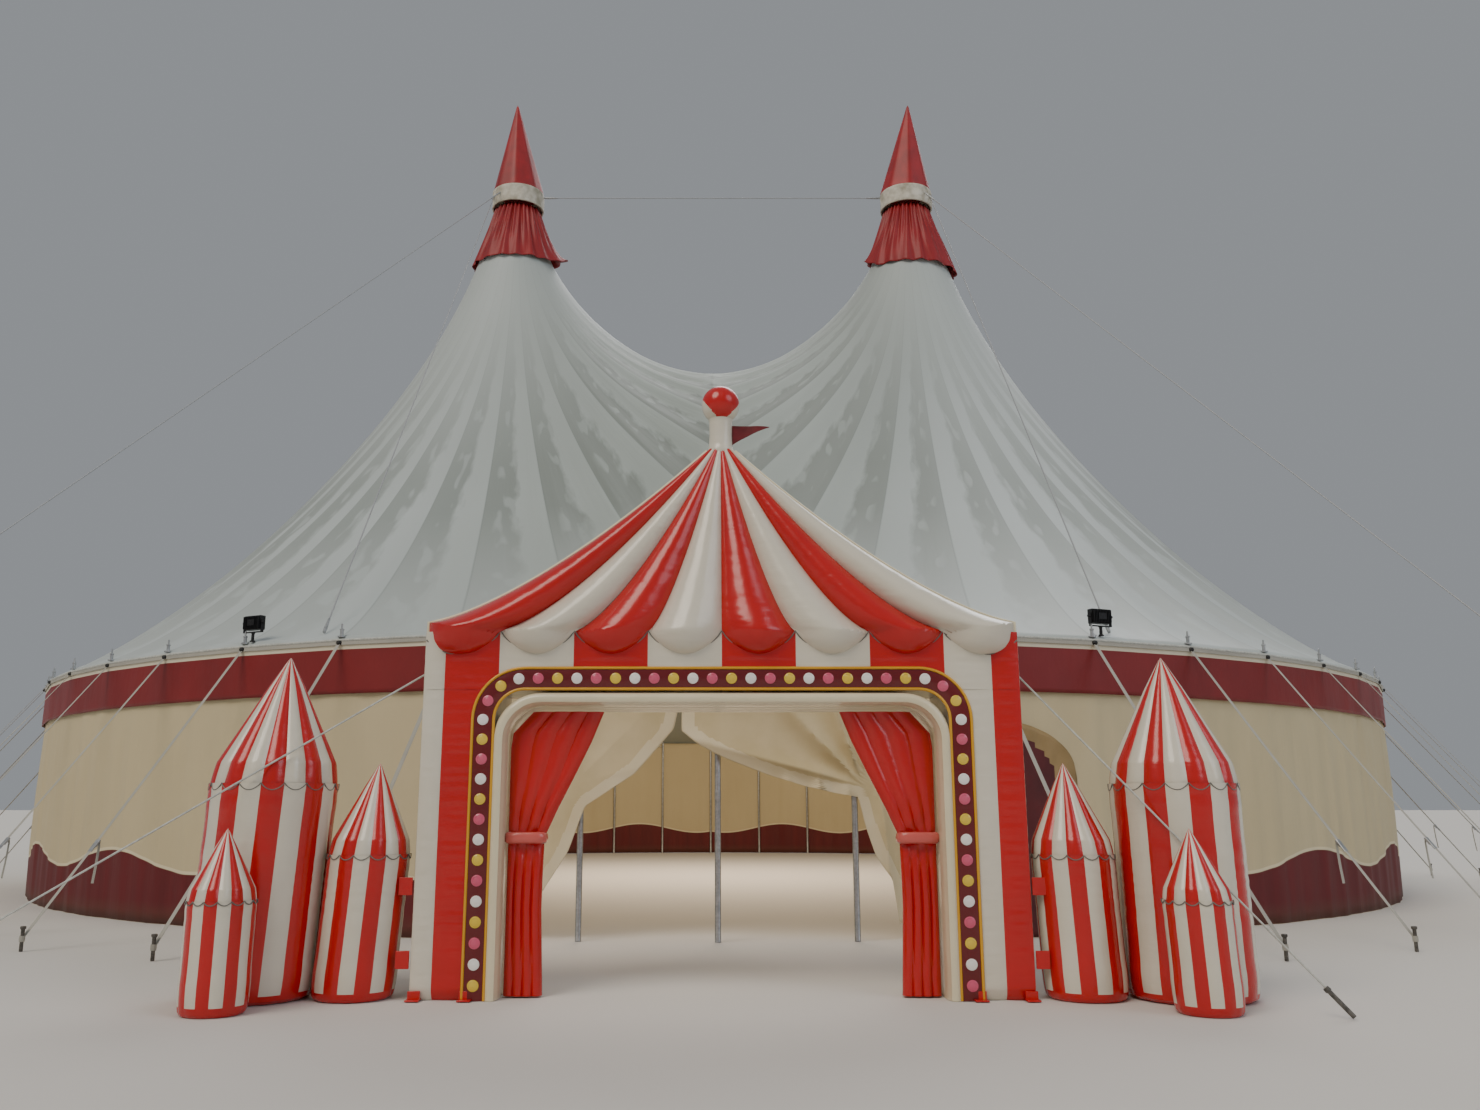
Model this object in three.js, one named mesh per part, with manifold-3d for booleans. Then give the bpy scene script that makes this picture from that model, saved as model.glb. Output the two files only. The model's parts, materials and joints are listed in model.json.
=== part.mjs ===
// Circus big top tent with an inflatable entrance arch, in millimetres, +Z up, front along -Y.
// A round canopy hangs from two king poles and is held out by side poles, straps and stakes.

import * as THREE from 'three';
import { mergeVertices } from 'three/addons/utils/BufferGeometryUtils.js';
import Module from 'manifold-3d';

const wasm = await Module();
wasm.setup();

// Driving dimensions of the canopy: a round eave with two masts on the X axis
const eaveRadius = 13400;
const eaveHeight = 3610;
const mastX = 4850;
const crownRadius = 900;
const crownHeight = 14560;
const poleCount = 52;
const middleGores = 14;
const fabric = 30;
const valanceDrop = 720;
const gap = 0.4;

// How the canopy sags: the share of a logarithmic curve, the power of the rest, and how the cones blend
const sagShare = 0.369;
const sagPower = 1.324;
const coneBlend = 4.25;
const roofRows = [0, 0.06, 0.15, 0.27, 0.42, 0.6, 0.78, 0.92, 1];

// Walls, side poles and the doorway, which is two bays wide to each side of the front pole
const wallOuter = eaveRadius - fabric - 1.5;
const wallThickness = 35;
const wallTop = eaveHeight - fabric - gap;
const doorBays = 2;
const drapeOuter = wallOuter + 1.1;
const drapeThickness = 12;
const poleRadius = 38;
const poleRing = wallOuter - wallThickness - gap - poleRadius;
const bayWidth = 2 * poleRing * Math.sin(Math.PI / poleCount);
const eaveRopeDrop = 150;
const eaveRope = 24;

// Straps to the stakes round the tent
const strapReach = 16000;
const strapWidth = 50;
const strapThickness = 8;
const bandThickness = 14;
const bandTop = eaveHeight - 40;
const stakeHeight = 260;
const stakeWidth = 44;
const strapStakeWidth = 60;

// Mast heads
const mastRadius = 150;
const collarRadius = 640;
const collarSides = 24;
const collarBottom = 16050;
const collarTop = 16500;
const capRadius = 635;
const capTip = 19000;
const skirtHem = 14420;
const skirtFlare = 1100;
const cableRadius = 11;
const guyHeight = 16300;
const guyFoot = { x: 14300, left: 14000, right: 12350 };
const ridgeHeight = 16420;
const stayBay = 3.3;
const stayTurn = Math.PI / 3;

// Entrance arch, standing clear in front of the doorway
const archFront = -17450;
const archBack = -16550;
const archHalf = 2500;
const archEave = 3050;
const archApex = 4680;
const openingHalf = 1800;
const openingTop = 2320;
const openingCorner = 300;
const liningHalf = 1905;
const liningTop = 2475;
const frameHalf = 2080;
const frameTop = 2660;
const frameInner = 1900;
const frameInnerTop = 2470;
const frameDepth = 40;
const neckRadius = 105;
const neckTop = 4990;
const ballRadius = 175;
const tetherHeight = 2635;

// Striped towers beside the arch: radius, eave height and tip height
const bigTower = { radius: 515, eave: 1700, tip: 2760 };
const middleTower = { radius: 335, eave: 1130, tip: 1870 };
const smallTower = { radius: 255, eave: 820, tip: 1350 };
const smallAside = { left: -45, right: -155 };
const towerLine = -17299;
const towerGap = 80;
const towerSides = 16;

// Floodlights above the eave, each tilting in a yoke
const lamp = { width: 285, height: 185, depth: 120, pinRadius: 8, rise: 270 };
const yoke = { plate: 12, gap: 8, width: 50, postRadius: 20 };
const lampBays = { left: -3.93, right: 3.1 };

const paint = {
  canopy: { color: 0xb4bcb4, roughness: 0.6, metalness: 0 },
  wall: { color: 0xcdbf9a, roughness: 0.7, metalness: 0 },
  redVinyl: { color: 0xc4120e, roughness: 0.3, metalness: 0 },
  whiteVinyl: { color: 0xd9d2c0, roughness: 0.35, metalness: 0 },
  redFabric: { color: 0xa01010, roughness: 0.6, metalness: 0 },
  maroon: { color: 0x6b1414, roughness: 0.5, metalness: 0 },
  steel: { color: 0x9a9c9e, roughness: 0.4, metalness: 0.9 },
  webbing: { color: 0xb9b7ae, roughness: 0.8, metalness: 0 },
  black: { color: 0x141414, roughness: 0.5, metalness: 0.2 },
};

const tent = new THREE.Group();

function addPiece(name, shape, finish, x = 0, y = 0, z = 0) {
  const geometry = shape.isBufferGeometry ? shape : toGeometry(shape);
  const mesh = new THREE.Mesh(geometry, new THREE.MeshStandardMaterial(finish));
  mesh.name = name;
  mesh.position.set(x, y, z);
  tent.add(mesh);
  return mesh;
}

function toSolid(geometry) {
  const bare = geometry.clone();
  bare.deleteAttribute('normal');
  bare.deleteAttribute('uv');
  const merged = mergeVertices(bare, 1e-3);
  return new wasm.Manifold(new wasm.Mesh({
    numProp: 3,
    vertProperties: Float32Array.from(merged.attributes.position.array),
    triVerts: Uint32Array.from(merged.index.array),
  }));
}

function toGeometry(solid) {
  const { vertProperties, triVerts } = solid.getMesh();
  const geometry = new THREE.BufferGeometry();
  geometry.setAttribute('position', new THREE.BufferAttribute(vertProperties, 3));
  geometry.setIndex(new THREE.BufferAttribute(triVerts, 1));
  return geometry;
}

function join(solids) {
  return solids.reduce((whole, solid) => whole.add(solid));
}

// A closed sheet between two grids of points, turned so that its faces point out
function sheet(front, back) {
  const rows = front.length;
  const columns = front[0].length;
  const points = [...front.flat(), ...back.flat()];
  const at = (layer, row, column) => (layer * rows + row) * columns + column;
  const index = [];
  const quad = (a, b, c, d) => index.push(a, b, c, a, c, d);
  for (let row = 0; row + 1 < rows; row += 1) {
    for (let column = 0; column + 1 < columns; column += 1) {
      quad(at(0, row, column), at(0, row, column + 1), at(0, row + 1, column + 1), at(0, row + 1, column));
      quad(at(1, row, column), at(1, row + 1, column), at(1, row + 1, column + 1), at(1, row, column + 1));
    }
    quad(at(0, row, 0), at(0, row + 1, 0), at(1, row + 1, 0), at(1, row, 0));
    const last = columns - 1;
    quad(at(0, row, last), at(1, row, last), at(1, row + 1, last), at(0, row + 1, last));
  }
  for (let column = 0; column + 1 < columns; column += 1) {
    quad(at(0, 0, column), at(1, 0, column), at(1, 0, column + 1), at(0, 0, column + 1));
    const last = rows - 1;
    quad(at(0, last, column), at(0, last, column + 1), at(1, last, column + 1), at(1, last, column));
  }
  const volume = index.reduce((sum, _, i) => (i % 3 ? sum
    : sum + points[index[i]].dot(points[index[i + 1]].clone().cross(points[index[i + 2]]))), 0);
  const geometry = new THREE.BufferGeometry().setFromPoints(points);
  geometry.setIndex(volume < 0 ? index.reverse() : index);
  return geometry;
}

// A straight bar of a few sides from one point to another
function bar(from, to, radius, sides = 6) {
  const along = new THREE.Vector3().subVectors(to, from);
  const geometry = new THREE.CylinderGeometry(radius, radius, along.length(), sides);
  const turn = new THREE.Quaternion().setFromUnitVectors(new THREE.Vector3(0, 1, 0), along.clone().normalize());
  geometry.applyQuaternion(turn);
  const middle = new THREE.Vector3().addVectors(from, to).multiplyScalar(0.5);
  return geometry.translate(middle.x, middle.y, middle.z);
}

// A cable or rope that ends in a ground stake driven in line with it, from its top to a point on the ground
function anchored(head, ground, radius) {
  const lean = new THREE.Vector3().subVectors(head, ground).normalize();
  const foot = ground.clone().setZ((stakeWidth / 2) * Math.hypot(lean.x, lean.y));
  const up = new THREE.Vector3().subVectors(head, foot).normalize();
  const length = head.distanceTo(foot);
  const profile = [[0, 0], [stakeWidth / 2, 0], [stakeWidth / 2, stakeHeight], [radius, stakeHeight]];
  const points = [...profile, [radius, length], [0, length]].map(([out, rise]) => new THREE.Vector2(out, rise));
  const turn = new THREE.Quaternion().setFromUnitVectors(new THREE.Vector3(0, 1, 0), up);
  return new THREE.LatheGeometry(points, 8).applyQuaternion(turn).translate(foot.x, foot.y, foot.z);
}

// A box by its two corners
function block(low, high) {
  const size = high.map((value, axis) => value - low[axis]);
  const geometry = new THREE.BoxGeometry(...size);
  return geometry.translate(...low.map((value, axis) => value + size[axis] / 2));
}

// A turned solid standing on +Z, from radius and height pairs
function turned(profile, segments, start = 0) {
  const points = profile.map(([radius, height]) => new THREE.Vector2(radius, height));
  return new THREE.LatheGeometry(points, segments, start).rotateX(Math.PI / 2);
}

// A point on the many-sided ring through the side poles, counted in bays from the front pole
function ringPoint(bay, radius, z) {
  const corner = (index) => {
    const angle = (index * 2 * Math.PI) / poleCount;
    return new THREE.Vector3(radius * Math.sin(angle), -radius * Math.cos(angle), z);
  };
  return corner(Math.floor(bay)).lerp(corner(Math.floor(bay) + 1), bay - Math.floor(bay));
}

function coneHeight(x, y, side) {
  const run = x - side * mastX;
  const distance = Math.max(Math.hypot(run, y), 1);
  const lean = (side * mastX * run) / distance;
  const reach = -lean + Math.sqrt(lean ** 2 + eaveRadius ** 2 - mastX ** 2);
  const share = THREE.MathUtils.clamp((distance - crownRadius) / (reach - crownRadius), 0, 1);
  const curve = Math.log(reach / Math.max(distance, crownRadius)) / Math.log(reach / crownRadius);
  return Math.max(sagShare * curve + (1 - sagShare) * (1 - share) ** sagPower, 0);
}

function roofHeight(x, y) {
  const blend = coneHeight(x, y, 1) ** coneBlend + coneHeight(x, y, -1) ** coneBlend;
  return eaveHeight + (crownHeight - eaveHeight) * blend ** (1 / coneBlend);
}

// How much a sheet of the canopy's thickness measures straight down at a point
function roofThickness(x, y) {
  const step = 5;
  const slopeX = (roofHeight(x + step, y) - roofHeight(x - step, y)) / (2 * step);
  const slopeY = (roofHeight(x, y + step) - roofHeight(x, y - step)) / (2 * step);
  return fabric * Math.hypot(1, slopeX, slopeY);
}

// The plan points that the seams of one mast's half run to: the side poles, then the line between the halves
function rimPoints(side) {
  const half = poleCount / 2;
  const rim = [];
  for (let bay = 0; bay <= half; bay += 1) {
    rim.push(ringPoint(side * bay, eaveRadius, 0));
  }
  const spread = Math.atan2(eaveRadius, mastX);
  for (let gore = 1; gore < middleGores; gore += 1) {
    const angle = spread * (1 - (2 * gore) / middleGores);
    rim.push(new THREE.Vector3(0, mastX * Math.tan(angle), 0));
  }
  return rim;
}

// One panel of the canopy, from the bale ring to the eave with its valance, or to the line between the halves
function roofPanel(side, corners, hasValance) {
  const rim = corners.map((point) => point.clone().setX(hasValance ? point.x : side * gap));
  const mast = new THREE.Vector3(side * mastX, 0, 0);
  const top = [];
  const under = [];
  rim.forEach((point, column) => {
    const seam = new THREE.Vector3().subVectors(point, mast).setZ(0);
    const crown = seam.clone().setLength(crownRadius).add(mast);
    const aside = new THREE.Vector3(-seam.y, seam.x, 0).normalize().multiplyScalar(gap / 2);
    const neighbour = rim[column === 0 ? 1 : column - 1];
    const inward = Math.sign(aside.dot(new THREE.Vector3().subVectors(neighbour, point)));
    const shift = aside.multiplyScalar(column === 0 || column === rim.length - 1 ? inward : 0);
    roofRows.forEach((share, row) => {
      const plan = crown.clone().lerp(point, share);
      const z = roofHeight(plan.x, plan.y);
      const lip = hasValance && row === roofRows.length - 1;
      const inner = lip ? point.clone().sub(seam.clone().setLength(fabric)) : plan;
      const thickness = lip ? fabric : roofThickness(plan.x, plan.y);
      top[row] = [...(top[row] ?? []), plan.clone().add(shift).setZ(z)];
      under[row] = [...(under[row] ?? []), inner.clone().add(shift).setZ(z - thickness)];
      if (lip) {
        const hem = z - valanceDrop;
        top[row + 1] = [...(top[row + 1] ?? []), plan.clone().add(shift).setZ(hem)];
        under[row + 1] = [...(under[row + 1] ?? []), inner.clone().add(shift).setZ(hem)];
      }
    });
  });
  return sheet(top, under);
}

// Canopy: four panels round each mast
const roofPanels = [];
for (const [sideName, side] of [['left', -1], ['right', 1]]) {
  const rim = rimPoints(side);
  const back = poleCount / 2;
  const panels = {
    front: rim.slice(0, 10),
    side: rim.slice(9, 18),
    back: rim.slice(17, back + 1),
    middle: [...rim.slice(back), rim[0]],
  };
  for (const [panelName, points] of Object.entries(panels)) {
    const geometry = roofPanel(side, points, panelName !== 'middle');
    roofPanels.push(addPiece(`roof_${sideName}_${panelName}`, geometry, paint.canopy));
  }
}

// The point and normal where a plumb line meets the canopy, from above or from below
function canopyAt(x, y, fromBelow = false) {
  const start = new THREE.Vector3(x, y, fromBelow ? 0 : capTip);
  const ray = new THREE.Raycaster(start, new THREE.Vector3(0, 0, fromBelow ? 1 : -1));
  const hit = ray.intersectObjects(roofPanels)[0];
  return { point: hit.point, normal: hit.face.normal };
}

// How far the end of a bar stands off a face, so that the nearest edge of that end just clears it
function seatOffset(direction, normal, radius) {
  return gap / 2 + radius * Math.sqrt(1 - direction.dot(normal) ** 2);
}

// Side wall: six panels of flat bays, with the doorway left open at the front
const wallBays = (poleCount - 2 * doorBays) / 6;
const wallNames = ['right_front', 'right_side', 'right_back', 'left_back', 'left_side', 'left_front'];
wallNames.forEach((name, order) => {
  const faces = [wallOuter, wallOuter - wallThickness].map((radius) => [0, wallTop].map((z) => {
    const first = doorBays + order * wallBays;
    return Array.from({ length: wallBays + 1 }, (_, bay) => {
      const point = ringPoint(first + bay, radius, z);
      const ahead = ringPoint(first + bay + 1, radius, z).sub(point).setLength(gap * 0.5);
      const end = (bay === 0 && order > 0 ? 1 : 0) - (bay === wallBays && order < 5 ? 1 : 0);
      return point.add(ahead.multiplyScalar(end));
    });
  }));
  addPiece(`wall_${name}`, sheet(...faces), paint.wall);
});

// Side poles: each group hangs together on the eave rope and ends under the canopy
function polesAt(first, last) {
  const solids = [];
  for (let bay = first; bay <= last; bay += 1) {
    const foot = ringPoint(bay, poleRing, 0);
    const angle = (bay * 2 * Math.PI) / poleCount;
    const seats = [-1, -0.5, 0.5, 1].flatMap((aside) => [0, 0.5, 1].map((out) => (
      ringPoint(bay + (aside * poleRadius) / bayWidth, poleRing + out * poleRadius, 0)
    )));
    const height = Math.min(...seats.map((seat) => canopyAt(seat.x, seat.y, true).point.z)) - gap;
    const pole = new THREE.CylinderGeometry(poleRadius, poleRadius, height, 6);
    pole.rotateX(Math.PI / 2).rotateZ(angle).translate(foot.x, foot.y, height / 2);
    solids.push(toSolid(pole));
    if (bay < last) {
      const ropeZ = eaveHeight - eaveRopeDrop;
      const rope = bar(ringPoint(bay, poleRing, ropeZ), ringPoint(bay + 1, poleRing, ropeZ), eaveRope / 2, 4);
      solids.push(toSolid(rope));
    }
  }
  return join(solids);
}
addPiece('door_poles', polesAt(-doorBays, doorBays), paint.steel);
addPiece('side_poles_right_front', polesAt(3, 14), paint.steel);
addPiece('side_poles_right_back', polesAt(15, 26), paint.steel);
addPiece('side_poles_left_back', polesAt(27, 38), paint.steel);
addPiece('side_poles_left_front', polesAt(39, 49), paint.steel);

// Straps: a belt round the eave, a strap from each side pole, and the stake that holds it
function strapsAt(first, last) {
  const bottom = bandTop - strapWidth;
  const band = [eaveRadius + gap, eaveRadius + gap + bandThickness].map((radius) => [bottom, bandTop].map((z) => (
    Array.from({ length: last - first + 1 }, (_, bay) => ringPoint(first + bay, radius, z))
  )));
  const solids = [toSolid(sheet(...band))];
  const head = eaveRadius + bandThickness / 2;
  const run = strapReach - head;
  const drop = bandTop - strapWidth / 2 - stakeHeight / 2;
  for (let bay = first; bay <= last; bay += 1) {
    const angle = (bay * 2 * Math.PI) / poleCount;
    const strap = new THREE.BoxGeometry(strapWidth, Math.hypot(run, drop), strapThickness);
    strap.rotateX(Math.atan2(drop, run));
    strap.translate(0, -head - run / 2, stakeHeight / 2 + drop / 2).rotateZ(angle);
    const stake = block(
      [-strapStakeWidth / 2, -strapReach - stakeWidth / 2, 0],
      [strapStakeWidth / 2, -strapReach + stakeWidth / 2, stakeHeight],
    );
    solids.push(toSolid(strap), toSolid(stake.rotateZ(angle)));
  }
  return join(solids);
}
addPiece('straps_right_front', strapsAt(doorBays, 14), paint.webbing);
addPiece('straps_right_back', strapsAt(15, 26), paint.webbing);
addPiece('straps_left_back', strapsAt(27, 38), paint.webbing);
addPiece('straps_left_front', strapsAt(39, poleCount - doorBays), paint.webbing);

// The bale ring follows the canopy's corners, so the canopy sits against it all round
function baleRing(side) {
  const low = 14400;
  const high = 14600;
  const ringAt = (radius, z) => {
    const corners = rimPoints(side).map((point) => {
      const seam = new THREE.Vector3(point.x - side * mastX, point.y, 0);
      return seam.setLength(radius).setZ(z);
    });
    return [...corners, corners[0].clone()];
  };
  const outer = crownRadius - gap;
  const inner = outer - 60;
  return toSolid(sheet([ringAt(outer, low), ringAt(outer, high)], [ringAt(inner, low), ringAt(inner, high)]));
}

// Masts, with what is fixed on their heads
for (const [sideName, side] of [['left', -1], ['right', 1]]) {
  const mastHeight = collarBottom - gap;
  const spoke = (length, width) => toSolid(block([-length, -width, 14440], [length, width, 14560]));
  const mast = join([
    toSolid(turned([[0, 0], [mastRadius, 0], [mastRadius, mastHeight], [0, mastHeight]], 12)),
    toSolid(block([-400, -400, 0], [400, 400, 25])),
    toSolid(turned([[0, mastHeight - 80], [380, mastHeight - 80], [380, mastHeight], [0, mastHeight]], 12)),
    spoke(870, 30),
    toSolid(block([-30, -870, 14440], [30, 870, 14560])),
    baleRing(side),
  ]);
  addPiece(`king_pole_${sideName}`, mast, paint.steel, side * mastX);

  const cupola = turned([
    [0, collarBottom], [collarRadius, collarBottom], [collarRadius, collarTop], [capRadius, collarTop],
    [30, capTip - 60], [0, capTip],
  ], collarSides);
  addPiece(`cupola_${sideName}`, cupola, paint.whiteVinyl, side * mastX);

  const skirtTop = collarBottom - gap;
  const flare = [[skirtFlare, skirtHem], [520, skirtTop]];
  const lining = flare.map(([radius, z]) => [radius - fabric, z]).reverse();
  addPiece(`skirt_${sideName}`, turned([...flare, ...lining, flare[0]], 20), paint.redFabric, side * mastX);
}

// Cables from the mast heads, each seated on a flat of the many-sided collar

// Where a cable to a point starts, so that its end rests on the side of the collar that faces a given way
function cableHead(side, target, height, outward) {
  const mast = new THREE.Vector3(side * mastX, 0, height);
  const pitch = (2 * Math.PI) / collarSides;
  const flat = (Math.floor(Math.atan2(outward.y, outward.x) / pitch) + 0.5) * pitch;
  const normal = new THREE.Vector3(Math.cos(flat), Math.sin(flat), 0);
  const rim = mast.clone().addScaledVector(outward, collarRadius);
  const direction = new THREE.Vector3().subVectors(target, rim).normalize();
  const away = collarRadius * Math.cos(pitch / 2) + seatOffset(direction, normal, cableRadius);
  return mast.addScaledVector(outward, away / outward.dot(normal));
}

const ridgeEnd = mastX - collarRadius - gap;
const ridge = [-1, 1].map((side) => new THREE.Vector3(side * ridgeEnd, 0, ridgeHeight));
addPiece('ridge_cable', bar(...ridge, cableRadius, 8), paint.steel);
for (const [sideName, side] of [['left', -1], ['right', 1]]) {
  for (const [endName, end] of [['front', -1], ['back', 1]]) {
    const ground = new THREE.Vector3(side * guyFoot.x, end * guyFoot[sideName], 0);
    const facing = ground.clone().sub(new THREE.Vector3(side * mastX, 0, 0)).normalize();
    const guy = anchored(cableHead(side, ground, guyHeight, facing), ground, cableRadius);
    addPiece(`guy_${endName}_${sideName}`, guy, paint.steel);

    const eaveBay = end < 0 ? side * stayBay : side * (poleCount / 2 - stayBay);
    const eaveEnd = ringPoint(eaveBay, eaveRadius - 250, 0);
    const seat = canopyAt(eaveEnd.x, eaveEnd.y);
    const aside = new THREE.Vector3(side * Math.sin(stayTurn), end * Math.cos(stayTurn), 0);
    const start = cableHead(side, seat.point, guyHeight, aside);
    const along = new THREE.Vector3().subVectors(start, seat.point).normalize();
    const away = seatOffset(along, seat.normal, cableRadius);
    const tail = seat.point.clone().addScaledVector(along, away / along.dot(seat.normal));
    addPiece(`stay_${endName}_${sideName}`, bar(start, tail, cableRadius, 8), paint.steel);
  }
}

// Door drapes in the plane of the wall: an inner edge given as bay and height, down from the eave
function drape(outerBay, edge) {
  const columns = 12;
  const swept = new THREE.SplineCurve(edge.map(([bay, z]) => new THREE.Vector2(bay, z))).getPoints(9);
  const faces = [drapeOuter, drapeOuter - drapeThickness].map((radius) => swept.map((point) => (
    Array.from({ length: columns + 1 }, (_, column) => (
      ringPoint(outerBay + ((point.x - outerBay) * column) / columns, radius, point.y)
    ))
  )));
  return sheet(...faces);
}
const jamb = doorBays - 0.01;
addPiece('door_drape_left', drape(-jamb, [
  [-0.24, wallTop], [-0.28, 2650], [-0.32, 2400], [-0.6, 1890], [-0.96, 1515], [-1.08, 1000], [-1.26, 555],
]), paint.wall);
addPiece('door_drape_right', drape(jamb, [
  [-0.19, wallTop], [-0.2, 2600], [-0.1, 2290], [0.09, 2095], [0.37, 1885], [0.65, 1735], [0.85, 1665],
  [1.02, 1620], [1.07, 1290], [1.14, 960], [1.25, 670], [1.3, 200],
]), paint.wall);

// Arch: a puffed body that narrows to the neck, on two legs
function archSection(half, front, back, z) {
  const corner = Math.min(half, (back - front) / 2) * 0.4;
  const shape = new THREE.Shape();
  shape.moveTo(half - corner, front);
  shape.quadraticCurveTo(half, front, half, front + corner);
  shape.lineTo(half, back - corner);
  shape.quadraticCurveTo(half, back, half - corner, back);
  shape.lineTo(corner - half, back);
  shape.quadraticCurveTo(-half, back, -half, back - corner);
  shape.lineTo(-half, front + corner);
  shape.quadraticCurveTo(-half, front, corner - half, front);
  return shape.extractPoints(2).shape.map((point) => new THREE.Vector3(point.x, point.y, z));
}

// A solid through a stack of like sections, closed at both ends by flat fans
function loft(sections) {
  const count = sections[0].length;
  const points = sections.flat();
  const index = [];
  for (let level = 0; level + 1 < sections.length; level += 1) {
    for (let i = 0; i < count; i += 1) {
      const a = level * count + i;
      const b = level * count + ((i + 1) % count);
      index.push(a, b, b + count, a, b + count, a + count);
    }
  }
  const top = (sections.length - 1) * count;
  for (let i = 1; i + 1 < count; i += 1) {
    index.push(0, i + 1, i, top, top + i, top + i + 1);
  }
  const geometry = new THREE.BufferGeometry().setFromPoints(points);
  geometry.setIndex(index);
  return geometry;
}

const archMiddle = (archFront + archBack) / 2;
const archSections = [archSection(archHalf, archFront, archBack, liningTop)];
for (const rise of [0, 0.05, 0.12, 0.26, 0.42, 0.6, 0.8, 1]) {
  const half = neckRadius + (archHalf - neckRadius) * (1 - rise ** 0.71);
  const depth = neckRadius + ((archBack - archFront) / 2 - neckRadius) * (1 - rise);
  const z = archEave + (archApex - archEave) * rise;
  archSections.push(archSection(half, archMiddle - depth, archMiddle + depth, z));
}
addPiece('arch_roof', loft(archSections), paint.redVinyl);

for (const [sideName, side] of [['left', -1], ['right', 1]]) {
  const legHalf = (archHalf - liningHalf) / 2;
  const legTop = liningTop - gap;
  const leg = loft([archSection(legHalf, archFront, archBack, 0), archSection(legHalf, archFront, archBack, legTop)]);
  addPiece(`arch_leg_${sideName}`, leg, paint.redVinyl, side * (liningHalf + legHalf));
}

// An upside-down U in the plane of the arch, between an outer and an inner outline
function portal(outer, inner, thickness, y) {
  const shape = new THREE.Shape();
  const arc = outer.corner;
  shape.moveTo(-outer.half, 0);
  shape.lineTo(-outer.half, outer.top - arc);
  if (arc > 0) shape.absarc(arc - outer.half, outer.top - arc, arc, Math.PI, Math.PI / 2, true);
  shape.lineTo(outer.half - arc, outer.top);
  if (arc > 0) shape.absarc(outer.half - arc, outer.top - arc, arc, Math.PI / 2, 0, true);
  shape.lineTo(outer.half, 0);
  shape.lineTo(inner.half, 0);
  shape.lineTo(inner.half, inner.top - inner.corner);
  shape.absarc(inner.half - inner.corner, inner.top - inner.corner, inner.corner, 0, Math.PI / 2, false);
  shape.lineTo(inner.corner - inner.half, inner.top);
  shape.absarc(inner.corner - inner.half, inner.top - inner.corner, inner.corner, Math.PI / 2, Math.PI, false);
  shape.lineTo(-inner.half, 0);
  const geometry = new THREE.ExtrudeGeometry(shape, { depth: thickness, bevelEnabled: false, curveSegments: 5 });
  return geometry.rotateX(Math.PI / 2).translate(0, y + thickness, 0);
}
addPiece('arch_lining', portal(
  { half: liningHalf - gap, top: liningTop - gap, corner: 0 },
  { half: openingHalf, top: openingTop, corner: openingCorner },
  archBack - archFront,
  archFront,
), paint.whiteVinyl);
addPiece('arch_light_frame', portal(
  { half: frameHalf, top: frameTop, corner: 400 },
  { half: frameInner, top: frameInnerTop, corner: 260 },
  frameDepth,
  archFront - frameDepth - gap,
), paint.maroon);

// Arch curtains, tied back half way down
for (const [sideName, side] of [['left', -1], ['right', 1]]) {
  const outer = openingHalf - gap;
  const arcX = side * (openingHalf - openingCorner);
  const arcTop = openingTop - openingCorner;
  const shape = new THREE.Shape();
  shape.moveTo(side * outer, 0);
  shape.lineTo(side * outer, arcTop);
  shape.absarc(arcX, arcTop, openingCorner - gap, side > 0 ? 0 : Math.PI, Math.PI / 2, side < 0);
  shape.lineTo(side * 1000, openingTop - gap);
  shape.quadraticCurveTo(side * 1100, 1700, side * 1480, 1260);
  shape.lineTo(side * 1490, 700);
  shape.lineTo(side * 1465, 0);
  const curtain = new THREE.ExtrudeGeometry(shape, { depth: 240, bevelEnabled: false, curveSegments: 5 });
  curtain.rotateX(Math.PI / 2).translate(0, archFront + 320, 0);
  addPiece(`arch_curtain_${sideName}`, curtain, paint.redVinyl);
}

// Finial: neck, ball and pennant
const ballMiddle = neckTop + Math.sqrt(ballRadius ** 2 - neckRadius ** 2);
const finialProfile = [[0, archApex + gap], [neckRadius, archApex + gap], [neckRadius, neckTop]];
for (let step = 1; step <= 7; step += 1) {
  const angle = -0.9 + (step / 8) * (Math.PI / 2 + 0.9);
  finialProfile.push([ballRadius * Math.cos(angle), ballMiddle + ballRadius * Math.sin(angle)]);
}
finialProfile.push([0, ballMiddle + ballRadius]);
const flag = new THREE.Shape([
  new THREE.Vector2(60, 4740), new THREE.Vector2(60, 4932), new THREE.Vector2(455, 4925),
]);
const pennant = new THREE.ExtrudeGeometry(flag, { depth: 24, bevelEnabled: false }).rotateX(Math.PI / 2).translate(0, 12, 0);
addPiece('arch_finial', join([toSolid(turned(finialProfile, 16)), toSolid(pennant)]), paint.whiteVinyl, 0, archMiddle);

// Tethers from the arch's sides, past the fronts of the big towers, to stakes
const tetherStakes = { left: [-6200, -19000], right: [4580, -18310] };
for (const [sideName, side] of [['left', -1], ['right', 1]]) {
  const ground = new THREE.Vector3(...tetherStakes[sideName], 0);
  const ring = new THREE.Vector3(side * archHalf, archFront + 192, tetherHeight);
  const along = new THREE.Vector3().subVectors(ground, ring).normalize();
  const head = ring.addScaledVector(along, seatOffset(along, new THREE.Vector3(side, 0, 0), 10) / (along.x * side));
  addPiece(`arch_tether_${sideName}`, anchored(head, ground, 10), paint.webbing);
}

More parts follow.
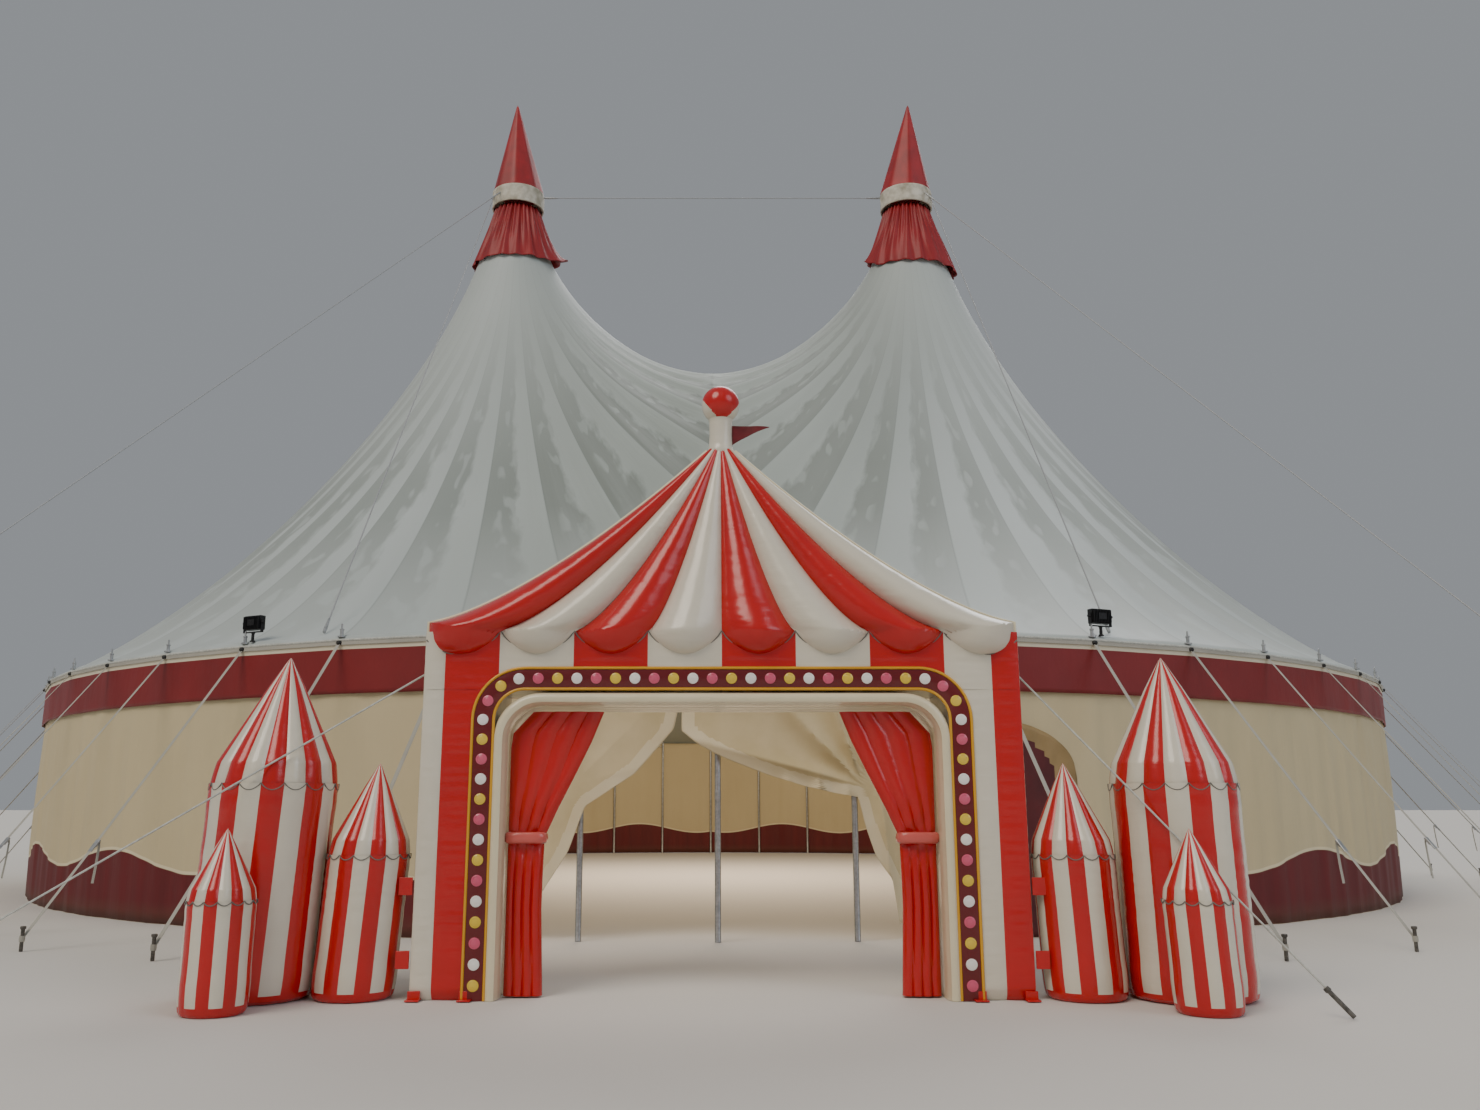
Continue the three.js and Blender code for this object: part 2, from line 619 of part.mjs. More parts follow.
// Towers: puffed columns under pointed roofs, the middle and the small one against the big one
function tower(name, size, x, y) {
  const { radius, eave, tip } = size;
  const rise = tip - eave;
  const profile = [
    [0, 0], [radius * 0.94, 0], [radius, radius * 0.25], [radius, eave],
    [radius * 0.93, eave + rise * 0.16], [radius * 0.62, eave + rise * 0.45], [radius * 0.3, eave + rise * 0.75],
    [radius * 0.06, eave + rise * 0.97], [0, tip],
  ];
  addPiece(name, turned(profile, towerSides), paint.redVinyl, x, y);
}
for (const [sideName, side] of [['left', -1], ['right', 1]]) {
  const middleX = archHalf + towerGap + middleTower.radius;
  const bigX = middleX + middleTower.radius + gap + bigTower.radius;
  const aside = smallAside[sideName];
  const reach = bigTower.radius + smallTower.radius - Math.abs(aside) * Math.tan(Math.PI / towerSides) + gap;
  tower(`tower_middle_${sideName}`, middleTower, side * middleX, towerLine);
  tower(`tower_big_${sideName}`, bigTower, side * bigX, towerLine);
  tower(`tower_small_${sideName}`, smallTower, side * bigX + aside, towerLine - reach);
}

// Floodlights: a post and yoke on the eave, and a lamp on two pins in it
for (const [sideName, bay] of Object.entries(lampBays)) {
  const angle = (bay * 2 * Math.PI) / poleCount;
  const foot = ringPoint(bay, eaveRadius - 45, 0);
  const pivotZ = eaveHeight + lamp.rise;
  const seat = canopyAt(foot.x, foot.y);
  const post = seatOffset(new THREE.Vector3(0, 0, 1), seat.normal, yoke.postRadius) / seat.normal.z;
  const postFoot = seat.point.z + post - pivotZ;
  const armX = lamp.width / 2 + yoke.gap;
  const armTop = lamp.height / 2 + 20;
  const crossZ = -lamp.height / 2 - 25;
  const half = yoke.width / 2;
  const pinHole = new THREE.CylinderGeometry(lamp.pinRadius + 0.7, lamp.pinRadius + 0.7, 2 * armX + 100, 16);
  const bracket = join([
    toSolid(block([-armX - yoke.plate, -half, crossZ], [-armX, half, armTop - 60])),
    toSolid(block([armX, -half, crossZ], [armX + yoke.plate, half, armTop - 60])),
    toSolid(block([-armX - yoke.plate, -half, crossZ - yoke.plate], [armX + yoke.plate, half, crossZ])),
    toSolid(bar(new THREE.Vector3(0, 0, postFoot), new THREE.Vector3(0, 0, crossZ - 4), yoke.postRadius, 8)),
  ]).subtract(toSolid(pinHole.rotateZ(Math.PI / 2)));
  const placed = addPiece(`floodlight_bracket_${sideName}`, bracket, paint.black, foot.x, foot.y, pivotZ);
  placed.rotation.z = angle;

  const pin = new THREE.CylinderGeometry(lamp.pinRadius, lamp.pinRadius, 2 * (armX + yoke.plate), 16);
  const head = join([
    toSolid(new THREE.BoxGeometry(lamp.width, lamp.depth, lamp.height)),
    toSolid(pin.rotateZ(Math.PI / 2)),
  ]);
  const mesh = addPiece(`floodlight_${sideName}`, head, paint.black, foot.x, foot.y, pivotZ);
  mesh.rotation.z = angle;
}

// The origin is the middle of the whole footprint on the ground
const footprint = new THREE.Box3().setFromObject(tent, true);
const centre = footprint.getCenter(new THREE.Vector3());
tent.position.set(-centre.x, -centre.y, 0);

export default tent;
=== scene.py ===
import json
import math

import bmesh
import bpy
import numpy as np
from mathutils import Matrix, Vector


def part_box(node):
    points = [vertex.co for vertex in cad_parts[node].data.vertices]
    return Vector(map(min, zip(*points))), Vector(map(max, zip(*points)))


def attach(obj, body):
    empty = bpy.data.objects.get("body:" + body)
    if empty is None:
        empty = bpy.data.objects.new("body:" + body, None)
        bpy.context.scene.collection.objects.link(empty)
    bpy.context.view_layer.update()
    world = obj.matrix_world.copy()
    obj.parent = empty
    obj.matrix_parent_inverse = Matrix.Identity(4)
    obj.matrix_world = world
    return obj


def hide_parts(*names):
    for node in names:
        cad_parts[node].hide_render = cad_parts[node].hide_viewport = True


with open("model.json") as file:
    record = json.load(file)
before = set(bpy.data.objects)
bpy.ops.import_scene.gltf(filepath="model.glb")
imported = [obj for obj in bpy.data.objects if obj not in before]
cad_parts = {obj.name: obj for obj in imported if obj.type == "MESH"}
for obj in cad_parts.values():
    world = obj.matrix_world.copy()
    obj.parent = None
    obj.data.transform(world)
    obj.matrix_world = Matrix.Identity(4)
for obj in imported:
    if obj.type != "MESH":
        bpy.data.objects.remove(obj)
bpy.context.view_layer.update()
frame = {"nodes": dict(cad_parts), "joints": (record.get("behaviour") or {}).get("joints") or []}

# Camera: eye height on the centre line, nine metres in front of the arch, tilted up to take in the masts.
# The lens, the tilt and the sideways shift are the photograph's own.
camera = bpy.data.objects.new("camera", bpy.data.cameras.new("camera"))
bpy.context.scene.collection.objects.link(camera)
camera.location = (-0.125, -26.001, 1.52)
camera.rotation_euler = (math.radians(90 + 11.84), 0, 0)
camera.data.lens = 29.09
camera.data.shift_x = 0.0223
camera.data.clip_end = 600
bpy.context.scene.camera = camera

# Floor and light: a plain pale floor that runs to the horizon, a grey sky all round, and two wide soft suns.
# A large dim lamp under the canopy shows what can be seen through the doorway.
floor_reach = 400.0
floor_drop = -0.003
floor_corners = [(-1, -1), (1, -1), (1, 1), (-1, 1)]
floor_mesh = bpy.data.meshes.new("floor")
floor_mesh.from_pydata(
    [(x * floor_reach, y * floor_reach, floor_drop) for x, y in floor_corners], [], [range(4)]
)
floor = bpy.data.objects.new("floor", floor_mesh)
bpy.context.scene.collection.objects.link(floor)


def linear(code):
    """An sRGB colour given as six hex digits, as linear red, green and blue with full alpha."""
    shares = [int(code[i:i + 2], 16) / 255 for i in (1, 3, 5)]
    return [s / 12.92 if s <= 0.04045 else ((s + 0.055) / 1.055) ** 2.4 for s in shares] + [1.0]


class Finish:
    """A material with one principled shader, and the kinds of node that these finishes are made from.

    A value for a node is a number, another node's output or, for a colour, six hex digits.
    """

    def __init__(self, name, roughness, **sockets):
        self.material = bpy.data.materials.new(name)
        self.material.use_nodes = True
        self.shader = self.material.node_tree.nodes["Principled BSDF"]
        self.shader.inputs["Roughness"].default_value = roughness
        for socket, value in sockets.items():
            self.shader.inputs[socket.replace("_", " ")].default_value = value

    def node(self, kind, feeds=None, **settings):
        """Adds a shader node with its settings, and feeds a value or an output to each input named."""
        made = self.material.node_tree.nodes.new("ShaderNode" + kind)
        for name, value in settings.items():
            setattr(made, name, value)
        for socket, value in (feeds or {}).items():
            if isinstance(value, bpy.types.NodeSocket):
                self.material.node_tree.links.new(value, made.inputs[socket])
            else:
                made.inputs[socket].default_value = linear(value) if isinstance(value, str) else value
        return made.outputs

    def place(self):
        """The place on the object, in metres."""
        return self.node("TexCoord")["Object"]

    def cut(self):
        """The place on the cloth as it was cut: the piece's own coordinates."""
        return self.node("UVMap", uv_map="cut")["UV"]

    def split(self, vector):
        """The three parts of a vector."""
        return self.node("SeparateXYZ", {0: vector})[:3]

    def scaled(self, vector, *scale):
        """A vector with each of its parts scaled."""
        return self.node("Mapping", {"Vector": vector, "Scale": scale})[0]

    def noise(self, vector, scale, detail, roughness=0.5):
        """Soft noise between 0 and 1."""
        feeds = {"Vector": vector, "Scale": scale, "Detail": detail, "Roughness": roughness}
        return self.node("TexNoise", feeds)[0]

    def maths(self, operation, *values):
        """One sum, named as the node names it."""
        return self.node("Math", dict(enumerate(values)), operation=operation)[0]

    def span(self, value, low, high, bottom=0.0, top=1.0):
        """Where a value lies between low and high, on a scale from bottom to top and held within it."""
        feeds = {"Value": value, "From Min": low, "From Max": high, "To Min": bottom, "To Max": top}
        return self.node("MapRange", feeds)[0]

    def mix(self, share, first, second):
        """A share of the second colour in the first."""
        return self.node("MixRGB", {"Fac": share, "Color1": first, "Color2": second})[0]

    def feed(self, socket, output):
        """Links an output to a socket of the shader."""
        self.material.node_tree.links.new(output, self.shader.inputs[socket])

    def relief(self, height, depth, strength):
        """Makes the surface rise and fall by a height on a scale of depth metres."""
        feeds = {"Height": height, "Distance": depth, "Strength": strength}
        self.feed("Normal", self.node("Bump", feeds)[0])


studio_floor = Finish("pale_studio_floor", 0.85)
floor_tone = studio_floor.node("TexNoise", {"Scale": 0.02})[0]
studio_floor.feed("Base Color", studio_floor.mix(floor_tone, "#CFCCC6", "#D6D3CD"))
floor_mesh.materials.append(studio_floor.material)

world = bpy.data.worlds.new("studio")
world.use_nodes = True
world.node_tree.nodes["Background"].inputs["Color"].default_value = linear("#A9ADB2")
world.node_tree.nodes["Background"].inputs["Strength"].default_value = 0.7
bpy.context.scene.world = world
for lamp_name, turn, height, strength, warmth in (
    ("key", -38, 48, 1.6, "#FFF4E6"), ("fill", 55, 30, 0.6, "#EAF1FF"), ("rim", 165, 40, 0.8, "#FFFFFF"),
):
    sun = bpy.data.objects.new(lamp_name, bpy.data.lights.new(lamp_name, "SUN"))
    bpy.context.scene.collection.objects.link(sun)
    sun.rotation_euler = (math.radians(90 - height), 0, math.radians(turn))
    sun.data.energy = strength
    sun.data.angle = math.radians(35)
    sun.data.color = linear(warmth)[:3]
under_canopy = bpy.data.objects.new("under_canopy", bpy.data.lights.new("under_canopy", "AREA"))
bpy.context.scene.collection.objects.link(under_canopy)
under_canopy.location = (0, 1.5, 8.2)
under_canopy.data.size = 7.0
under_canopy.data.energy = 1500
under_canopy.data.color = linear("#FFE7CC")[:3]

# King poles: two 300 mm galvanised steel tubes on base plates, each with a bale ring under the canopy.
# Hot-dip zinc gives a dull grey with a faint mottle. The solids are right, and take this finish.
pole_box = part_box("king_pole_left")
tent_y = (pole_box[0][1] + pole_box[1][1]) / 2
mast_x = -(pole_box[0][0] + pole_box[1][0]) / 2
SIDES = {"left": -1, "right": 1}


def toned(name, dark, light, grain, roughness, depth, **sockets):
    """A finish that wanders between two tones over grain metres, with a relief of that depth in metres."""
    finish = Finish(name, roughness, **sockets)
    place = finish.place()
    blotches = finish.noise(place, 0.35 / grain, 2.0)
    specks = finish.noise(place, 1 / grain, 4.0)
    share = finish.span(finish.maths("ADD", blotches, specks), 0.75, 1.25)
    finish.feed("Base Color", finish.mix(share, dark, light))
    finish.relief(specks, depth, 0.6)
    return finish


galvanised = toned("galvanised_steel", "#9FA2A3", "#BDBFBF", 0.03, 0.42, 0.0006, Metallic=0.85)
for side_name in SIDES:
    mast = frame["nodes"][f"king_pole_{side_name}"]
    mast.data.materials.clear()
    mast.data.materials.append(galvanised.material)

# Canopy: coated polyester laced together along the middle, in tapered gores from each mast to the eave.
# Each gore is printed pale silver along one seam, which breaks up into cloudy patches towards the
# grey-green half.
eave_radius = 13.4
eave_height = 3.61
eave_line = 3.555
crown_radius = 0.9
crown_height = 14.56
pole_count = 52
outer_gores = pole_count // 2
middle_gores = 18
gores = outer_gores + middle_gores
cone_log_share = 0.369
cone_power = 1.324
saddle_power = 4.25
gore_dip = 0.12
edge_roll = 0.1


def ring(bay, radius):
    """Plan points of the many-sided ring of poles, straight between them, by bays from the front pole."""
    low = np.floor(bay)
    angles = [2 * np.pi * (low + i) / pole_count for i in (0, 1)]
    corners = [np.stack([np.sin(angle), -np.cos(angle)], -1) for angle in angles]
    part = (bay - low)[..., None]
    return radius * (corners[0] * (1 - part) + corners[1] * part)


def stood(plan, z):
    """Plan points about the tent's middle, stood at a height in the frame."""
    x, y = plan[..., 0], plan[..., 1] + tent_y
    return np.stack([x, y, np.broadcast_to(z, x.shape)], -1)


def cone_height(x, y, side):
    """The share of the full height that one mast lifts: a logarithm of the distance, and a power of it."""
    run = x - side * mast_x
    distance = np.maximum(np.hypot(run, y), 1e-3)
    lean = side * mast_x * run / distance
    reach = -lean + np.sqrt(lean ** 2 + eave_radius ** 2 - mast_x ** 2)
    share = np.clip((distance - crown_radius) / (reach - crown_radius), 0, 1)
    curve = np.log(reach / np.maximum(distance, crown_radius)) / np.log(reach / crown_radius)
    return np.maximum(cone_log_share * curve + (1 - cone_log_share) * (1 - share) ** cone_power, 0)


def roof_height(x, y):
    """The two masts' cones blended, so that they meet in a smooth saddle."""
    blend = cone_height(x, y, 1) ** saddle_power + cone_height(x, y, -1) ** saddle_power
    return eave_height + (crown_height - eave_height) * blend ** (1 / saddle_power)


def canopy(side, gore, share):
    """A point of the canopy: share of the way along a line from the crown to the eave or the middle seam.

    The cloth hangs a little between the seams, most at three quarters of the way down, and rolls over
    the edge rope.
    """
    spread = math.atan2(eave_radius, mast_x)
    angle = spread * (1 - 2 * (gore - outer_gores) / middle_gores)
    inner = np.stack([np.zeros_like(gore), mast_x * np.tan(np.clip(angle, -spread, spread))], -1)
    rim = np.where(
        (gore <= outer_gores)[..., None], ring(side * np.minimum(gore, outer_gores), eave_radius), inner
    )
    mast = np.array([side * mast_x, 0])
    seam = rim - mast
    crown = mast + seam * crown_radius / np.linalg.norm(seam, axis=-1, keepdims=True)
    plan = crown + (rim - crown) * share[..., None]
    dip = gore_dip * np.sin(np.pi * gore) ** 2 * share ** 1.6 * (1 - share ** 8)
    pitch = 2 * np.pi / pole_count
    off_middle = np.arctan2(plan[..., 0], -plan[..., 1]) % pitch - pitch / 2
    outwards = np.linalg.norm(plan, axis=-1) * np.cos(off_middle) / math.cos(pitch / 2)
    over_edge = np.clip((outwards - eave_radius + edge_roll) / edge_roll, 0, 1)
    roll = (eave_height - eave_line) * over_edge ** 2
    return stood(plan, roof_height(plan[..., 0], plan[..., 1]) - dip - roll)


def patch(points, wrap=False, paint=0, uv=None):
    """Quads over a grid of points, facing the row direction crossed with the column direction.

    wrap joins the last column to the first. paint is a material number, or one for each quad.
    """
    rows, columns = points.shape[:2]
    across = columns if wrap else columns - 1
    row, column = np.meshgrid(np.arange(rows - 1), np.arange(across), indexing="ij")
    corners = [(row, column), (row + 1, column), (row + 1, column + 1), (row, column + 1)]
    quads = np.stack([(r * columns + c % columns).ravel() for r, c in corners], -1)
    if uv is None:
        uv = np.stack(np.meshgrid(np.linspace(0, 1, across + 1), np.linspace(0, 1, rows)), -1)
    laid = np.stack([uv[r, c].reshape(-1, 2) for r, c in corners], 1)
    return points.reshape(-1, 3), quads, np.broadcast_to(paint, row.shape).ravel(), laid


def mast_foot(side):
    """Where a mast stands in the frame."""
    return np.array([side * mast_x, tent_y, 0])


def piece(
    name, patches, materials, slot, replaces=(), body="tent", crease=35, closed=True, shell=0.0, bevel=0.0
):
    """One object from patches: shared points merged, smooth except at creases, riding on its body."""
    points, quads, paint, laid = zip(*patches)
    starts = np.cumsum([0] + [len(part) for part in points])
    quads = np.concatenate([part + start for part, start in zip(quads, starts)])
    mesh = bpy.data.meshes.new(name)
    mesh.from_pydata(np.concatenate(points).tolist(), [], quads.tolist())
    mesh.uv_layers.new(name="cut").data.foreach_set("uv", np.concatenate(laid).ravel())
    mesh.polygons.foreach_set("material_index", np.concatenate(paint).astype(np.int32))
    work = bmesh.new()
    work.from_mesh(mesh)
    bmesh.ops.remove_doubles(work, verts=work.verts, dist=1e-5)
    if closed:
        bmesh.ops.recalc_face_normals(work, faces=work.faces)
    work.to_mesh(mesh)
    work.free()
    mesh.shade_smooth()
    mesh.set_sharp_from_angle(angle=math.radians(crease))
    for finish in materials:
        mesh.materials.append(finish.material)
    made = bpy.data.objects.new(name, mesh)
    bpy.context.scene.collection.objects.link(made)
    if shell:
        skin = made.modifiers.new("shell", "SOLIDIFY")
        skin.thickness = shell
        skin.offset = -1
    if bevel:
        rounding = made.modifiers.new("rounding", "BEVEL")
        rounding.width = bevel
        rounding.segments = 2
        rounding.limit_method = "ANGLE"
    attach(made, body)
    if replaces:
        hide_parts(*replaces)
    return made


silver = Finish("coated_polyester_canopy", 0.5, Sheen_Weight=0.1)
cut_place = silver.cut()
gores_round, share_down, _ = silver.split(cut_place)
from_side, _, above_ground = silver.split(silver.place())
gore_part = silver.maths("FRACT", gores_round)

# The print is a stripe with a ragged edge and scattered puffs beside it, stronger down the cloth.
print_axes = ((gores_round, 2.4), (share_down, 9.0), (from_side, 0.3))
print_parts = [silver.maths("MULTIPLY", *axis) for axis in print_axes]
print_place = silver.node("CombineXYZ", dict(enumerate(print_parts)))[0]
ragged = silver.span(silver.noise(print_place, 1.6, 3.0), 0.3, 0.7, 0.38, 0.6)
stripe = silver.span(silver.maths("SUBTRACT", ragged, gore_part), -0.08, 0.06)
spots = silver.span(silver.noise(print_place, 2.1, 0.5), 0.59, 0.67, top=0.6)
inside = silver.span(gore_part, 0.9, 0.78)
scattered = silver.maths("MULTIPLY", spots, inside)
printed = silver.maths("MAXIMUM", stripe, scattered)
print_strength = silver.node("ValToRGB", {0: share_down})[0]
ramp = print_strength.node.color_ramp
for position, level in ((0.1, 0.1), (0.3, 0.6), (0.6, 0.85)):
    ramp.elements.new(position).color = (level, level, level, 1)
ramp.elements[0].color = (0, 0, 0, 1)
ramp.elements[-1].color = (0.9, 0.9, 0.9, 1)
# Painted lamp light: the cloth turns paler and its print fainter towards the eave.
eave_lamp_light = silver.span(above_ground, 6.3, 3.6)
low_print = silver.span(eave_lamp_light, 0.0, 1.0, 1.0, 0.6)
full_print = silver.maths("MULTIPLY", printed, print_strength)
print_share = silver.maths("MULTIPLY", full_print, low_print)

# The ground is paler at the crown and, as painted lamp light, towards the eave. Painted shade darkens it
# and its print in the saddle. A grey line runs along each seam.
# Painted shade: the cloth and its print darken towards the saddle between the masts.
saddle_shade = silver.span(silver.maths("ABSOLUTE", from_side), 5.2, 0.3, top=0.85)
ground = silver.mix(silver.span(share_down, 0.08, 0.5), "#B2BAB7", "#929A95")
ground = silver.mix(saddle_shade, ground, "#5C6455")
ground = silver.mix(silver.maths("MULTIPLY", eave_lamp_light, 0.6), ground, "#BCC3C0")
two_tone = silver.mix(print_share, ground, silver.mix(saddle_shade, "#BBC4C2", "#8E978C"))
from_middle = silver.maths("ABSOLUTE", silver.maths("SUBTRACT", gore_part, 0.5))
seam_line = silver.span(from_middle, 0.484, 0.494, top=0.35)
silver.feed("Base Color", silver.mix(seam_line, two_tone, "#6E7873"))

# The cloth is creased where it is slack, further down.
creases = silver.noise(silver.scaled(cut_place, 3.0, 2.2, 1.0), 1.0, 3.0)
slackness = silver.span(share_down, 0.1, 0.7, 0.05)
silver.relief(silver.maths("MULTIPLY", creases, slackness), 0.05, 0.4)

canopy_rows = np.sort(np.append(1 - (1 - np.linspace(0, 1, 73)) ** 1.15, [0.9905, 0.9955, 0.998]))
collar_rows = np.array([[0.60, 15.35], [0.72, 15.0], [0.80, 14.83], [0.901, 14.61]])
for side_name, side in SIDES.items():
    gore, share = np.meshgrid(np.linspace(0, gores, gores * 8 + 1), canopy_rows)
    field = canopy(side, gore, share)
    mast = mast_foot(side)
    around = (field[0] - mast) * [1, 1, 0]
    around /= np.linalg.norm(around, axis=1, keepdims=True)
    neck = mast + around * collar_rows[:, 0, None, None] + [0, 0, 1] * collar_rows[:, 1, None, None]
    laid = np.stack([gore, share], -1)
    laid = np.concatenate([np.repeat(laid[:1], len(neck), axis=0), laid])
    cloth = np.concatenate([neck, field])
    made = piece(
        f"canopy_{side_name}", [patch(cloth[:, ::side], uv=laid[:, ::side])], [silver], "canopy",
        [f"roof_{side_name}_{part}" for part in ("front", "side", "back", "middle")], closed=False,
        shell=0.003
    )

# Valance: a band of the same cloth round the eave, cream at the top and maroon below, sewn on behind the
# edge rope. The rope is 36 mm polypropylene in a pale pocket.
valance_drop = eave_line - 2.89
cream_band = 0.105

maroon = Finish("coated_polyester_valance", 0.5)
band_place = maroon.cut()
below = maroon.span(maroon.split(band_place)[1], cream_band, cream_band + 0.006)
band_clouds = maroon.noise(maroon.place(), 1.3, 3.0)
deep_red = maroon.mix(band_clouds, "#6A1113", "#8A1A1B")
maroon.feed("Base Color", maroon.mix(below, "#D8CFB6", deep_red))
band_wrinkle = maroon.noise(maroon.scaled(band_place, 3.0, 0.7, 1.0), 1.6, 4.0)
maroon.relief(band_wrinkle, 0.03, 0.5)

quarters = ("right_front", "right_back", "left_back", "left_front")
quarter_bays = pole_count // 4
for order, quarter in enumerate(quarters):
    bays = np.linspace(order * quarter_bays, (order + 1) * quarter_bays, quarter_bays * 10 + 1)
    bay, drop = np.meshgrid(bays, np.linspace(0, 1, 13))
    loose = 0.006 * np.sin(2 * np.pi * bay * 2.5 + 1.3 * np.sin(bay * 1.7)) * drop
    plan = ring(bay, eave_radius - 0.008) * (1 + loose / eave_radius)[..., None]
    band = stood(plan, eave_line - 0.003 - drop * valance_drop)
    laid = np.stack([bay, drop * valance_drop], -1)
    made = piece(
        f"valance_{quarter}", [patch(band[::-1], uv=laid[::-1])], [maroon], "canopy", closed=False,
        shell=0.002
    )


def sweep(path, profile, side, caps=True):
    """Carries a closed profile along a path; its points are distances to the side and across from it."""
    path = np.asarray(path, float)
    along = np.gradient(path, axis=0)
    along /= np.linalg.norm(along, axis=1, keepdims=True)
    aside = np.broadcast_to(np.asarray(side, float), path.shape)
    aside = aside - (aside * along).sum(1, keepdims=True) * along
    aside = aside / np.linalg.norm(aside, axis=1, keepdims=True)
    over = np.cross(along, aside)
    grid = path[:, None] + profile[:, 0, None] * aside[:, None] + profile[:, 1, None] * over[:, None]
    if caps:
        grid = np.concatenate(
            [np.repeat(path[:1, None], len(profile), 1), grid, np.repeat(path[-1:, None], len(profile), 1)]
        )
    return grid


def spins(count):
    """Equal steps of a full turn, in radians."""
    return np.arange(count) * 2 * np.pi / count


def circle(radius, sides):
    """A round profile."""
    angle = spins(sides)
    return radius * np.stack([np.cos(angle), np.sin(angle)], -1)


pale_rope = toned("pale_polypropylene_rope", "#A9ABA4", "#C6C8C0", 0.02, 0.7, 0.004)
edge_bays = np.linspace(0, pole_count, pole_count * 6 + 1)
edge_path = stood(ring(edge_bays, eave_radius + 0.004), eave_line + 0.006)
edge_rope = patch(sweep(edge_path, circle(0.018, 8), (0, 0, 1), caps=False), wrap=True)
piece("eave_edge_rope", [edge_rope], [pale_rope], "canopy")

# Cupolas: a cream sleeve round each mast head with a pointed red cover over it, both of coated polyester.
# The sleeve is a hoop open below, its cloth slightly slack. The cover is sewn from eight tapered panels
# and its tip leans a little away from the other mast.
worn_cream = toned("coated_polyester_sleeve", "#A39C88", "#DAD5C6", 0.16, 0.6, 0.01)
deep_red_cloth = toned("coated_polyester_red", "#861013", "#A5161A", 0.3, 0.48, 0.012)


def polar(radius, spin, z):
    """Points about +Z, their angle counted from the front towards the right."""
    return np.stack(np.broadcast_arrays(radius * np.sin(spin), -radius * np.cos(spin), z), -1)


def lathe(profile, turns, ripple=None):
    """Turns a profile of radius and height round +Z; ripple adds a radius for each row and angle."""
    radius, height = np.asarray(profile, float).T[..., None]
    spin = spins(turns)
    return polar(radius + (ripple(height, spin[None]) if ripple else 0), spin, height)


def metres_along(path):
    """The length of a path up to each of its points."""
    return np.concatenate([[0], np.cumsum(np.linalg.norm(np.diff(path, axis=0), axis=1))])


def eased(points, count):
    """More points along an open outline, evenly spread in length over its straight stretches."""
    points = np.asarray(points, float)
    steps = metres_along(points)
    wanted = np.linspace(0, steps[-1], count)
    return np.column_stack([np.interp(wanted, steps, axis) for axis in points.T])


sleeve_foot, cover_foot, cover_tip = 16.05, 16.50, 19.0
sleeve_outline = [
    (0.600, 16.06), (0.634, sleeve_foot), (0.640, 16.08), (0.640, 16.47), (0.634, 16.497), (0.54, 16.497),
    (0.54, 16.47), (0.600, 16.44), (0.600, 16.06)
]
cover_outline = [(0.634, cover_foot), (0.626, 16.54), (0.030, 18.94), (0.0, cover_tip)]
cover_lean = {"left": -0.10, "right": 0.14}
for side_name, side in SIDES.items():
    mast = mast_foot(side)

    def slack(z, spin, phase=side):
        """The sleeve's slack cloth: slow waves round the hoop and finer puckers near its hems."""
        wave = 0.008 * np.sin(5 * spin + phase) + 0.005 * np.sin(13 * spin + 2 * phase)
        return (wave - 0.006) * np.sin(np.pi * np.clip((z - sleeve_foot) / 0.45, 0, 1))

    def panels(z, spin):
        """Eight cloth panels that pull in a little between their seams."""
        return -0.03 * (cover_tip - z) / (cover_tip - cover_foot) * np.abs(np.sin(4 * spin)) ** 1.5

    sleeve = lathe(eased(sleeve_outline, 46), 96, slack) + mast
    cover = lathe(eased(cover_outline, 48), 96, panels) + mast
    underside = cover[:1] * [0, 0, 1] + mast
    cover[..., 0] += cover_lean[side_name] * (cover[..., 2] - cover_foot) / (cover_tip - cover_foot)
    cover = np.concatenate([underside, cover])
    for part, grid, finish, slot, crease in (
        ("sleeve", sleeve, worn_cream, "white_vinyl", 50), ("cover", cover, deep_red_cloth, "red_fabric", 25)
    ):
        bits = [patch(grid, wrap=True)]
        piece(f"cupola_{part}_{side_name}", bits, [finish], slot, [f"cupola_{side_name}"], crease=crease)

# Skirts: a strip of red coated cloth gathered under each sleeve and flared over the top of the canopy.
# It is cut straight, so the gathers are deep at the top and open out to a hem with little peaks.
# The hem's lift in metres and its spread as a share of the radius are given by the bearing in degrees,
# which is counted from the front towards the other mast.
skirt_top, skirt_drop = 16.045, 1.655
skirt_flare = [(0.535, skirt_top), (0.585, 15.95), (1.075, skirt_top - skirt_drop)]
hem_bearing = [-180, -105, -75, -45, 0, 45, 75, 90, 105, 150, 180]
hem_lift = {
    "left": [0.14, 0.10, 0.04, 0, 0, 0.02, 0.125, 0.36, 0.42, 0.35, 0.14],
    "right": [0.14, -0.08, -0.18, -0.18, -0.17, -0.16, 0.13, 0.33, 0.40, 0.35, 0.14]
}
hem_spread = {
    "left": [-0.05, 0, 0, 0, 0, 0.02, 0.12, 0.26, 0.10, -0.05, -0.05],
    "right": [-0.05, 0.08, 0.11, 0.09, 0.07, 0.07, 0.06, 0.05, 0, -0.05, -0.05]
}
hem_blur = range(-7, 8)
skirt_folds = 34
skirt_rows, skirt_turns = 40, 408
skirt_cloth = Finish("red_skirt_cloth", 0.5)
skirt_cut = skirt_cloth.cut()
# The strip along the top, where the skirt tucks under the sleeve, is darker.
tucked_top_strip = skirt_cloth.span(skirt_cloth.split(skirt_cut)[1], 0.955, 0.97)
skirt_clouds = skirt_cloth.noise(skirt_cloth.place(), 2.2, 4.0)
skirt_red = skirt_cloth.mix(skirt_clouds, "#7C0C10", "#A3171B")
skirt_cloth.feed("Base Color", skirt_cloth.mix(tucked_top_strip, skirt_red, "#5C090C"))
skirt_cloth.relief(skirt_cloth.noise(skirt_cloth.scaled(skirt_cut, 60, 3, 1), 1.0, 3.0), 0.02, 0.6)
